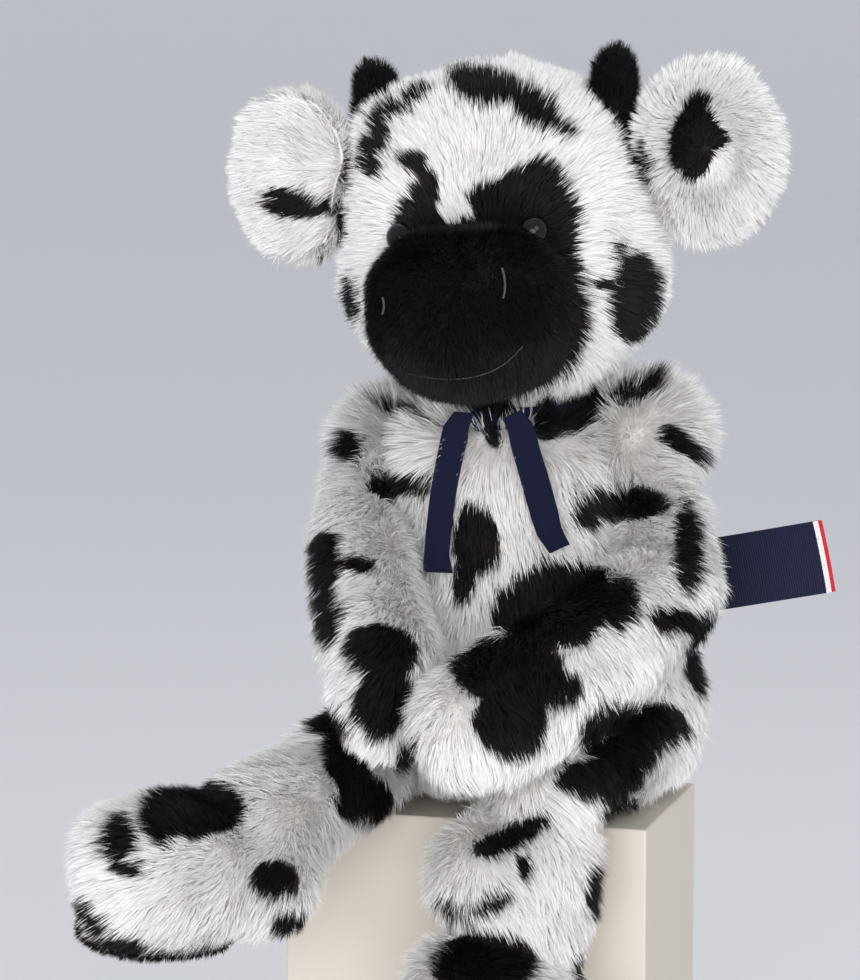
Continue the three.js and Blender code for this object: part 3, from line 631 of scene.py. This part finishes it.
def dye(part):
    piece = covers[part]
    tone = piece.data.attributes.new("tone", "FLOAT", "POINT")
    tone.data.foreach_set("value", toneAt(part, places(piece), normalsOf(piece)).astype(np.float32))


for part in covers:
    dye(part)
print("covers dyed")

# Where the eyes sit: a dome on a shank that points out of the face

eyeShape = {"radius": 0.0052, "colour": (0.004, 0.004, 0.005), "roughness": 0.06, "wear": 0.03}


def eyeSeat(side):
    body = np.array([vertex.co for vertex in frame["nodes"][f"eye_{side}"].data.vertices])
    middle = body.mean(0)
    _, _, axes = np.linalg.svd(body - middle, full_matrices=False)
    out = axes[0] if axes[0][1] < 0 else -axes[0]
    middle = middle + out * ((body - middle) @ out).mean()
    front = middle + out * ((body - middle) @ out).max()
    return {"front": Vector(front), "middle": Vector(front - out * eyeShape["radius"])}


eyes = {side: eyeSeat(side) for side in sides}

# Ribbon and label

ribbonLook = {
    "colour": (0.007, 0.009, 0.034), "stripeWhite": (0.80, 0.78, 0.76), "stripeRed": (0.55, 0.02, 0.035),
    "lift": 0.0045, "half": 0.0039,  # how far the ends lie out on the pile, and half their width
    "behind": 0.0007,  # the gap to the pile behind an end
}
# the ends' middle lines in the photograph, top to bottom
endLines = {
    "right": [(463, 400), (456, 430), (448, 460), (442, 500), (439, 540), (437, 584)],
    "left": [(513, 392), (520, 425), (529, 460), (539, 498), (547, 525), (556, 552)],
}
navy = wovenMaterial("navyWeave", [(0.0, ribbonLook["colour"])])
labelWeave = wovenMaterial("labelWeave", [
    (0.0, ribbonLook["colour"]), (0.47, ribbonLook["stripeWhite"]), (0.485, ribbonLook["stripeRed"]),
    (0.5, ribbonLook["colour"]),
])


def weaveMap(piece):
    # the piece's own map: across it and along it, in centimetres
    points = places(piece)
    flat = points - points.mean(0)
    _, _, axes = np.linalg.svd(flat, full_matrices=False)
    ownMap = piece.data.uv_layers.new(name="weave")
    corner = np.empty(len(piece.data.loops), np.int32)
    piece.data.loops.foreach_get("vertex_index", corner)
    uv = np.stack([flat[corner] @ axes[1], flat[corner] @ axes[0]], axis=1) * 100
    ownMap.data.foreach_set("uv", uv.ravel())


def ribbonPiece(name, node, body, line=None):
    piece = nodeCopy(name, [node])
    inEditMode(piece, lambda: bpy.ops.mesh.tris_convert_to_quads(),
               lambda: bpy.ops.mesh.subdivide(number_cuts=2, smoothness=0))
    if line:
        points = places(piece)
        points[:, 1] -= ribbonLook["lift"]
        onLine = np.array([cameraAt + rayThrough(*pixel) * 1.0 for pixel in line])
        reach = (points[:, 1].mean() - cameraAt.y) / (onLine[:, 1] - cameraAt.y)
        onLine = np.array(cameraAt) + (onLine - np.array(cameraAt)) * reach[:, None]
        # slide each height sideways to the line
        order = np.argsort(points[:, 2])
        now = np.convolve(np.pad(points[order, 0], 20, mode="edge"), np.ones(41) / 41, mode="valid")
        wanted = np.interp(points[:, 2], onLine[::-1, 2], onLine[::-1, 0])
        points[:, 0] += wanted - np.interp(points[:, 2], points[order, 2], now)
        setPlaces(piece, points)
    weaveMap(piece)
    applied(piece, "BEVEL", width=0.0001, segments=1, limit_method="ANGLE")
    piece.data.materials.append(navy)
    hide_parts(node)
    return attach(piece, body)


ribbonPiece("neck_ribbon_band", "neck_ribbon", "torso")
strips = [
    ribbonPiece(f"ribbon_end_{side}_strip", f"ribbon_tail_{side}", f"ribbon_end_{side}", endLines[side])
    for side in sides
]

labelShape = {
    "length": 0.053, "height": 0.025, "rise": 12, "gap": 0.0009, "cloth": 0.00035, "steps": 28, "rows": 10,
    "wave": 0.0011, "curl": 0.0012,  # how far it waves along its length and curls at its edges
}


def labelTab():
    root = jointAt["label_swing"]
    rise = math.radians(labelShape["rise"])
    out, up = Vector((math.cos(rise), 0, math.sin(rise))), Vector((-math.sin(rise), 0, math.cos(rise)))
    steps, rows = labelShape["steps"], labelShape["rows"]
    points, corners = [], []
    half = labelShape["gap"] / 2
    for n in range(2 * steps + 1):
        share = n / steps if n <= steps else 2 - n / steps
        side = -half if n < steps else half if n > steps else 0
        wave = labelShape["wave"] * math.sin(2.2 * share + 0.3) * share
        for row in range(rows + 1):
            high = (row / rows - 0.5) * labelShape["height"]
            curl = labelShape["curl"] * share * (2 * row / rows - 1) ** 2
            across = Vector((0, side - wave - curl, 0))
            points.append(root + out * (share * labelShape["length"]) + up * high + across)
    for n in range(2 * steps):
        for row in range(rows):
            a = n * (rows + 1) + row
            corners.append((a, a + 1, a + rows + 2, a + rows + 1))
    mesh = bpy.data.meshes.new("label_tab")
    mesh.from_pydata(points, [], corners)
    ownMap = mesh.uv_layers.new(name="weave")
    for loop in mesh.loops:
        n, row = divmod(loop.vertex_index, rows + 1)
        ownMap.data[loop.index].uv = (row / rows, n / (2 * steps))
    piece = bpy.data.objects.new("label_tab", mesh)
    scene.collection.objects.link(piece)
    inEditMode(piece, lambda: bpy.ops.mesh.normals_make_consistent(inside=False))
    applied(piece, "SOLIDIFY", thickness=labelShape["cloth"], offset=0)
    piece.data.materials.append(labelWeave)
    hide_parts("side_label")
    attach(piece, "label")


labelTab()
print("ribbon and label finished")

# The pile: fine tapered strands that lean along the lay and gather a little at their tips

noseAt = surfaceAt(trees["muzzle"], 470, 300)[0]
limbLines = {  # the way each limb runs, root to tip
    "arm_left": [(0.041, -0.006, 0.121), (0.049, -0.020, 0.107), (0.061, -0.044, 0.083),
                 (0.042, -0.084, 0.063), (0.013, -0.110, 0.046)],
    "arm_right": [(-0.048, -0.006, 0.121), (-0.049, -0.028, 0.105), (-0.0425, -0.058, 0.088),
                  (-0.029, -0.082, 0.067), (-0.018, -0.098, 0.049)],
    "leg_left": [(0.038, -0.028, 0.024), (0.0272, -0.0736, 0.0202), (0.0206, -0.0816, -0.0258),
                 (0.011, -0.101, -0.050), (0.001, -0.136, -0.062)],
    "leg_right": [(-0.038, -0.028, 0.024), (-0.046, -0.0722, 0.017), (-0.0648, -0.1126, 0.0024),
                  (-0.084, -0.135, -0.0024), (-0.118, -0.155, -0.012)],
}
longPile = {"length": 0.0104, "width": 0.00030, "lean": 46, "clump": 0.34, "perLock": 30}
shortPile = {"length": 0.0050, "width": 0.00026, "lean": 30, "clump": 0.15, "perLock": 14}
recipes = {
    "head": {**longPile, "count": 165000, "from": noseAt, "hiddenBy": ["muzzle"]},
    "muzzle": {**shortPile, "count": 62000, "along": (0, 0.25, -1), "hiddenBy": ["head"]},
    "neck": {**longPile, "count": 7000, "along": (0, 0, -1), "hiddenBy": ["head", "torso"]},
    "torso": {**longPile, "lean": 56, "count": 140000, "along": (0, 0.2, -1),
              "hiddenBy": ["arm_left", "arm_right", "leg_left", "leg_right", "head"]},
    "tail": {**longPile, "length": 0.006, "count": 8000, "along": (-0.5, 0.7, -0.5), "hiddenBy": ["torso"]},
    "tuft": {**longPile, "length": 0.011, "count": 9000, "along": (-0.9, 0.5, -0.1), "hiddenBy": []},
}
for side in sides:
    outward = 1 if side == "left" else -1
    recipes[f"arm_{side}"] = {**longPile, "lean": 52, "count": 76000, "line": limbLines[f"arm_{side}"],
                              "fall": (1.1 * outward, 0.3, -0.8), "hiddenBy": ["torso"]}
    recipes[f"leg_{side}"] = {**longPile, "count": 88000, "line": limbLines[f"leg_{side}"],
                              "fall": (0.7 * outward, 0.3, -0.7), "hiddenBy": ["torso"]}
    recipes[f"ear_{side}"] = {**longPile, "length": 0.0090, "count": 32000, "hiddenBy": ["head"],
                              "radial": (0.3, 0, 0) if side == "left" else (-1.3, 0, -0.2)}
    recipes[f"horn_{side}"] = {**shortPile, "length": 0.0068, "count": 9000, "along": (0, 0, 1),
                               "hiddenBy": ["head"]}
    recipes[f"sole_{side}"] = {**shortPile, "length": 0.0040, "count": 12000, "along": (0, -1, 0),
                               "hiddenBy": [f"leg_{side}"]}
mostInOne = 90000  # strands in one piece
comb = {
    "headFall": -0.35, "backFall": -2.5, "backFrom": -0.010, "backTo": 0.025,  # the head's, by its y
    "swirls": [(0.42, 0.018, 41), (0.26, 0.006, 47)],  # a share, a size and a seed
}


def scattered(piece, count, rng):
    mesh = piece.data
    mesh.calc_loop_triangles()
    corners = np.empty(len(mesh.loop_triangles) * 3, np.int32)
    mesh.loop_triangles.foreach_get("vertices", corners)
    corners = corners.reshape(-1, 3)
    points, normals = places(piece), normalsOf(piece)
    a, b, c = (points[corners[:, n]] for n in range(3))
    area = np.linalg.norm(np.cross(b - a, c - a), axis=1)
    face = rng.choice(len(corners), count, p=area / area.sum())
    u, v = rng.random((2, count))
    over = u + v > 1
    u[over], v[over] = 1 - u[over], 1 - v[over]
    weights = np.stack([1 - u - v, u, v], axis=1)[:, :, None]
    return (points[corners[face]] * weights).sum(1), unit((normals[corners[face]] * weights).sum(1))


def buried(points, tree, deep):
    # which points lie deeper than that inside a closed surface
    inside = np.zeros(len(points), bool)
    for n, point in enumerate(points):
        near, normal, _, _ = tree.find_nearest(point, 0.05)
        if near is not None:
            inside[n] = (Vector(point) - near).dot(normal) < -deep
    return inside


def wayAlong(line, points):
    # the run of the nearest stretch of a line, eased from stretch to stretch
    line = np.array(line)
    runs, total = np.zeros_like(points), np.zeros(len(points))
    for start, end in zip(line[:-1], line[1:]):
        run = end - start
        share = np.clip((points - start) @ run / (run @ run), 0, 1)
        far = np.linalg.norm(points - start - share[:, None] * run, axis=1)
        weight = np.exp(-((far / 0.008) ** 2)) + 1e-9 / (1e-6 + far)
        runs += weight[:, None] * run / np.linalg.norm(run)
        total += weight
    return runs / total[:, None]


def layOf(recipe, piece, points, normals):
    # the way the pile is combed, along the cover
    if "from" in recipe:
        behind = eased(points[:, 1], comb["backFrom"], comb["backTo"])
        way = unit(points - np.array(recipe["from"]))
        way[:, 2] += comb["headFall"] + behind * comb["backFall"]
    elif "radial" in recipe:
        way = unit(points - places(piece).mean(0)) + np.array(recipe["radial"])
    elif "line" in recipe:
        way = wayAlong(recipe["line"], points) + np.array(recipe["fall"])
    else:
        way = np.tile(np.array(recipe["along"], float), (len(points), 1))
    way = unit(way) + sum(share * noiseVectors(points, size, seed) for share, size, seed in comb["swirls"])
    way -= normals * (way * normals).sum(1, keepdims=True)
    return unit(way)


def strandMesh(name, roots, middles, tips, across, columns, widths):
    # each strand is a narrow kite that bends at its widest place
    count = len(roots)
    half = across * widths[:, None] / 2
    points = np.stack([roots, middles - half, middles + half, tips], axis=1)
    mesh = bpy.data.meshes.new(name)
    mesh.vertices.add(4 * count)
    mesh.vertices.foreach_set("co", points.ravel())
    mesh.loops.add(6 * count)
    first = np.arange(count, dtype=np.int32)[:, None]
    mesh.loops.foreach_set("vertex_index", (first * 4 + np.array([0, 2, 1, 1, 2, 3], np.int32)).ravel())
    mesh.polygons.add(2 * count)
    mesh.polygons.foreach_set("loop_start", (first * 6 + np.array([0, 3], np.int32)).ravel())
    mesh.update(calc_edges=True)
    middle, left, right = ((columns + share) / pile["columns"] for share in (0.5, 0.15, 0.85))
    across, up = [middle, right, left, left, right, middle], [0.02, 0.5, 0.5, 0.5, 0.5, 0.98]
    spread = np.stack([np.stack(across, axis=1), np.tile(up, (count, 1))], axis=2)
    ownMap = mesh.uv_layers.new(name="OFBake")
    ownMap.data.foreach_set("uv", spread.ravel())
    piece = bpy.data.objects.new(name, mesh)
    scene.collection.objects.link(piece)
    mesh.materials.append(furFinish)
    return piece


def eased(values, low, high):
    share = np.clip((values - low) / (high - low), 0, 1)
    return share * share * (3 - 2 * share)


# Heights or distances, or shares of an ear, between which a change of length and lean comes in
trims = {
    "eye": {"from": 0.003, "to": 0.018, "length": -0.7},
    "crown": {"from": 0.215, "to": 0.245, "lean": -0.45},
    "jaw": {"from": 0.148, "to": 0.162, "length": 0.25, "lean": -0.7},
    "collar": {"from": 0.112, "to": 0.130, "length": 0.32, "lean": -0.6},
    "chin": {"from": 0.150, "to": 0.166, "length": 0.35},
    "ear": {"from": 0.1, "to": 0.85, "length": {"left": -0.45, "right": -0.1}, "lean": 0.5},
}


def trimShare(name, values, above=True):
    # how much of a change applies, from its place upwards or else downwards
    share = eased(values, trims[name]["from"], trims[name]["to"])
    return share if above else 1 - share


def trim(part, points, normals):
    # shares of the pile's length and lean, from place to place on the toy
    long, lean = np.ones(len(points)), np.ones(len(points))
    if part == "head":
        fronts = [np.array(eye["front"]) for eye in eyes.values()]
        far = np.min([np.linalg.norm(points - front, axis=1) for front in fronts], axis=0)
        long *= 1 + trims["eye"]["length"] * trimShare("eye", far, above=False)
        lean *= 1 + trims["crown"]["lean"] * trimShare("crown", points[:, 2])
        under = trimShare("jaw", points[:, 2], above=False)
        long *= 1 + trims["jaw"]["length"] * under
        lean *= 1 + trims["jaw"]["lean"] * under
    if part in ("torso", "arm_left", "arm_right"):
        high = trimShare("collar", points[:, 2])
        long *= 1 + trims["collar"]["length"] * high
        lean *= 1 + trims["collar"]["lean"] * high
    if part == "muzzle":
        long *= 1 + trims["chin"]["length"] * trimShare("chin", points[:, 2], above=False)
    if part in ("ear_left", "ear_right"):
        low, high = (np.array(corner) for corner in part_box(f"{part}_front"))
        across = (points - (low + high) / 2) / (high - low) * 2
        hollow = trimShare("ear", np.hypot(across[:, 0], across[:, 2]), above=False) * (normals[:, 1] < 0)
        long *= 1 + trims["ear"]["length"][part.removeprefix("ear_")] * hollow
        lean *= 1 + trims["ear"]["lean"] * hollow
    return long, lean


def pressedBy(points, strip):
    # what lies under a ribbon's end stays behind it
    body = places(strip)
    order = np.argsort(body[:, 2])
    heights, middle, back = body[order, 2], body[order, 0], body[order, 1]
    window = np.ones(15) / 15
    middle, back = (np.convolve(np.pad(v, 7, mode="edge"), window, mode="valid") for v in (middle, back))
    near = np.abs(points[:, 0] - np.interp(points[:, 2], heights, middle)) < ribbonLook["half"]
    near &= (points[:, 2] > heights[0]) & (points[:, 2] < heights[-1])
    behind = np.interp(points[:, 2], heights, back) + ribbonLook["behind"]
    points[near, 1] = np.maximum(points[near, 1], behind[near])


growth = {
    "spare": 1.25,  # roots tried for each strand kept
    "hiddenDeep": 0.0015,
    "leanUneven": (0.25, 0.011, 0.16), "lengthUneven": (0.14, 0.008),  # a share, a size, chance's share
    "seat": (-0.048, 0.0004),  # the y from which the pile lies on the plinth, and its least height there
}


def grow(part, seed):
    recipe, piece = recipes[part], covers[part]
    rng = np.random.default_rng(seed)
    roots, normals = scattered(piece, int(recipe["count"] * growth["spare"]), rng)
    gone = np.zeros(len(roots), bool)
    for other in recipe["hiddenBy"]:
        gone |= buried(roots, trees[other], growth["hiddenDeep"])
    roots, normals = roots[~gone][:recipe["count"]], normals[~gone][:recipe["count"]]
    count = len(roots)
    lay = layOf(recipe, piece, roots, normals)
    longShare, leanShare = trim(part, roots, normals)
    share, size, chance = growth["leanUneven"]
    lean = 1 + share * noiseAt(roots, size, 71) + chance * rng.standard_normal(count)
    lean = np.radians(recipe["lean"] * leanShare * lean)
    share, size = growth["lengthUneven"]
    long = 1 + share * noiseAt(roots, size, 83)
    long *= recipe["length"] * longShare * rng.uniform(0.7, 1.1, count)
    wayUp = np.cos(lean * 1.25)[:, None] * normals + np.sin(lean * 1.25)[:, None] * lay
    wayLow = np.cos(lean * 0.6)[:, None] * normals + np.sin(lean * 0.6)[:, None] * lay
    middles = roots + wayLow * (long * 0.5)[:, None]
    tips = middles + wayUp * (long * 0.5)[:, None]
    # strands gather towards the nearest leader's tip, as locks
    leaders = rng.choice(count, max(1, count // recipe["perLock"]), replace=False)
    kd = KDTree(len(leaders))
    for n, leader in enumerate(leaders):
        kd.insert(roots[leader], n)
    kd.balance()
    lead = leaders[np.array([kd.find(root)[1] for root in roots])]
    pull = np.clip(recipe["clump"] + 0.16 * rng.standard_normal(count), 0, 0.9)[:, None]
    apart = roots - roots[lead]
    tips += (tips[lead] + apart * 0.3 - tips) * pull
    middles += (middles[lead] + apart * 0.8 - middles) * pull * 0.5
    along = unit(tips - roots)
    flat = unit(np.cross(along, normals) + 1e-6)
    out = np.cross(flat, along)
    roll = rng.uniform(-0.8, 0.8, count)[:, None]
    across = np.cos(roll) * flat + np.sin(roll) * out
    # the tone is read along a varying share of the strand, so patch edges are wispy
    share = rng.uniform(0.1, 0.8, count)[:, None]
    tone = toneAt(part, middles * (1 - share) + tips * share, normals) + rng.normal(0, 0.12, count)
    white = np.minimum(3, np.floor(np.abs(rng.normal(0, 1.2, count)))).astype(int)
    black = 5 + rng.integers(0, 3, count)
    columns = np.where(tone < 0.46, white, np.where(tone < 0.56, 4, black))
    widths = recipe["width"] * rng.uniform(0.75, 1.2, count)
    if part in ("torso", "leg_left", "leg_right"):
        for points in (middles, tips):
            onSeat = points[:, 1] > growth["seat"][0]
            points[onSeat, 2] = np.maximum(points[onSeat, 2], growth["seat"][1])
    if part in ("torso", "neck"):
        for points in (middles, tips):
            for strip in strips:
                pressedBy(points, strip)
    order = np.argsort(roots[:, 1], kind="stable")
    parts = math.ceil(count / mostInOne)
    made = []
    for n, chosen in enumerate(np.array_split(order, parts)):
        name = f"{part}_pile" + (f"_{n + 1}" if parts > 1 else "")
        made.append(strandMesh(name, roots[chosen], middles[chosen], tips[chosen], across[chosen],
                               columns[chosen], widths[chosen]))
    print(part, "pile", count, "strands")
    return made


piles = {part: grow(part, 100 + n) for n, part in enumerate(recipes)}
print("pile grown")

# Eyes, nostrils and mouth


def eyeDome(side):
    bpy.ops.mesh.primitive_uv_sphere_add(
        segments=40, ring_count=24, radius=eyeShape["radius"], location=eyes[side]["middle"])
    piece = bpy.context.object
    piece.name = piece.data.name = f"eye_{side}_dome"
    bpy.ops.object.transform_apply(location=True, rotation=True, scale=True)
    bpy.ops.object.shade_smooth()
    piece.data.materials.append(mouldedMaterial(f"eyeGloss_{side}", eyeShape))
    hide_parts(f"eye_{side}")
    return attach(piece, "head")


def threadAlong(name, pixels, tree, look, finish):
    curve = bpy.data.curves.new(name, "CURVE")
    curve.dimensions, curve.bevel_depth = "3D", look["radius"]
    curve.bevel_resolution, curve.resolution_u = 3, 6
    line = curve.splines.new("NURBS")
    line.points.add(len(pixels) - 1)
    for point, (x, y) in zip(line.points, pixels):
        place, normal = surfaceAt(tree, x, y)
        point.co = (*(place + normal * look["lift"]), 1)
    line.use_endpoint_u, line.order_u = True, 4
    piece = bpy.data.objects.new(name, curve)
    scene.collection.objects.link(piece)
    onlyThis(piece)
    bpy.ops.object.convert(target="MESH")
    piece = bpy.context.object
    bpy.ops.object.shade_smooth()
    piece.data.materials.append(finish)
    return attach(piece, "head")


faceThreads = {
    "mouth": [(414, 365), (430, 369), (448, 371), (466, 370), (484, 366), (500, 358), (512, 348), (519, 340)],
    "nostril_left": [(500, 273), (503, 281), (503, 290), (500, 298)],
    "nostril_right": [(392, 297), (394, 302), (394, 308), (392, 313)],
}
for side in sides:
    eyeDome(side)
threadLook = {
    "mouth": {"colour": (0.055, 0.050, 0.047), "lift": 0.0040, "radius": 0.00019},
    "nostril": {"colour": (0.06, 0.055, 0.05), "lift": 0.0042, "radius": 0.0004},
}
mouthThread = threadMaterial("mouthThread", threadLook["mouth"]["colour"])
nostrilThread = threadMaterial("nostrilThread", threadLook["nostril"]["colour"])
threadAlong("mouth_thread", faceThreads["mouth"], trees["muzzle"], threadLook["mouth"], mouthThread)
for side in sides:
    threadAlong(f"nostril_{side}_thread", faceThreads[f"nostril_{side}"], trees["muzzle"],
                threadLook["nostril"], nostrilThread)
washerLook = {"colour": (0.72, 0.72, 0.72), "roughness": 0.45, "wear": 0.2}
for side in sides:
    washer = frame["nodes"][f"eye_washer_{side}"]
    washer.data.materials.clear()
    washer.data.materials.append(mouldedMaterial(f"washerPlastic_{side}", washerLook))
print("face finished")

# What each piece replaces and rides on

replaced = {
    "torso": ("torso", ["torso_skin", "torso_filling", "pellet_bag"]),
    "neck": ("neck", ["neck_filling"]),
    "head": ("head", ["head_skin", "head_filling"]),
    "muzzle": ("head", ["muzzle_skin", "muzzle_filling"]),
    "tail": ("tail", ["tail_cord"]),
    "tuft": ("tail", ["tail_tuft"]),
}
for side in sides:
    replaced[f"arm_{side}"] = (f"arm_{side}", [f"arm_{side}_skin", f"arm_{side}_filling"])
    replaced[f"ear_{side}"] = (f"ear_{side}", [f"ear_{side}_back", f"ear_{side}_front"])
    replaced[f"horn_{side}"] = ("head", [f"horn_{side}_skin", f"horn_{side}_filling"])
    replaced[f"sole_{side}"] = (f"shin_{side}", [f"sole_{side}"])
kneeZone = 0.014  # the bend's half length


def bend(piece, side):
    hipAt, kneeAt = jointAt[f"hip_{side}"], jointAt[f"knee_{side}"]
    low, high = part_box(f"shin_{side}_filling")
    down = (kneeAt - hipAt).normalized() + ((low + high) / 2 - kneeAt).normalized()
    down.normalize()
    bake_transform(piece, f"thigh_{side}", f"shin_{side}",
             start=kneeAt - down * kneeZone, end=kneeAt + down * kneeZone)


for part, (body, nodes) in replaced.items():
    piece = covers[part]
    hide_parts(*nodes)
    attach(piece, body)
    for fur in piles.get(part, []):
        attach(fur, body)
for side in sides:
    piece = covers[f"leg_{side}"]
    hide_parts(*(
        f"{part}_{side}_{layer}" for part in ("thigh", "shin") for layer in ("skin", "filling")))
    bend(piece, side)
    for fur in piles[f"leg_{side}"]:
        bend(fur, side)
print("pieces placed on their bodies")

# Plinth, floor and light

stagePlan = {
    "plinth": (-0.072, 0.055, -0.050, 0.0275),  # low and high x, low and high y
    "drop": 0.16,
    "floor": 16, "wallShare": 0.4, "sweepRound": 2.5,
    "plinthColour": (0.68, 0.62, 0.54), "floorColour": (0.80, 0.80, 0.80),
}
lamps = {  # a place, what it aims at, its size and its power
    "keyLight": ((0.80, -1.0, 0.70), (0, 0, 0.12), 0.7, 3.5),
    "frontLight": ((0.22, -1.35, 0.10), (0, 0, 0.06), 1.0, 13),
    "topLight": ((-0.1, 0.5, 1.1), (0, 0, 0.12), 0.8, 2),
}
roomLight = {"colour": (0.9, 0.92, 1.0), "strength": 0.72}


def addStage():
    lowX, highX, lowY, highY = stagePlan["plinth"]
    middle = ((lowX + highX) / 2, (lowY + highY) / 2, -stagePlan["drop"] / 2)
    bpy.ops.mesh.primitive_cube_add(size=1, location=middle)
    plinth = bpy.context.object
    plinth.name = "plinth"
    plinth.scale = (highX - lowX, highY - lowY, stagePlan["drop"])
    bpy.ops.object.transform_apply(location=True, rotation=True, scale=True)
    applied(plinth, "BEVEL", width=0.0008, segments=3)
    plinth.data.materials.append(plainMaterial("plinthCard", stagePlan["plinthColour"], 0.8))
    # a floor that turns up into a wall behind
    bpy.ops.mesh.primitive_plane_add(size=stagePlan["floor"], location=(0, 0, -stagePlan["drop"]))
    sweep = bpy.context.object
    sweep.name = "sweep"
    bpy.ops.object.transform_apply(location=True, rotation=False, scale=False)
    onlyThis(sweep)
    bpy.ops.object.mode_set(mode="EDIT")
    bpy.ops.mesh.select_mode(type="EDGE")
    bpy.ops.mesh.select_all(action="DESELECT")
    bpy.ops.object.mode_set(mode="OBJECT")
    for edge in sweep.data.edges:
        edge.select = all(sweep.data.vertices[v].co.y > 0 for v in edge.vertices)
    bpy.ops.object.mode_set(mode="EDIT")
    rise = (0, 0, stagePlan["floor"] * stagePlan["wallShare"])
    bpy.ops.mesh.extrude_region_move(TRANSFORM_OT_translate={"value": rise})
    bpy.ops.object.mode_set(mode="OBJECT")
    applied(sweep, "BEVEL", width=stagePlan["sweepRound"], segments=16, limit_method="ANGLE")
    onlyThis(sweep)
    bpy.ops.object.shade_smooth()
    sweep.data.materials.append(plainMaterial("sweepPale", stagePlan["floorColour"], 0.9))


def addLight(name, place, aim, size, power):
    bpy.ops.object.light_add(type="AREA", location=place)
    lamp = bpy.context.object
    lamp.name = name
    lamp.data.shape, lamp.data.size, lamp.data.energy = "DISK", size, power
    lamp.rotation_euler = (Vector(place) - Vector(aim)).to_track_quat("Z", "Y").to_euler()


addStage()
for name, plan in lamps.items():
    addLight(name, *plan)
world = bpy.data.worlds.new("softRoom")
scene.world = world
world.use_nodes = True
preset(world.node_tree.nodes["Background"],
       {"Color": (*roomLight["colour"], 1), "Strength": roomLight["strength"]})
scene.view_settings.view_transform = "Standard"
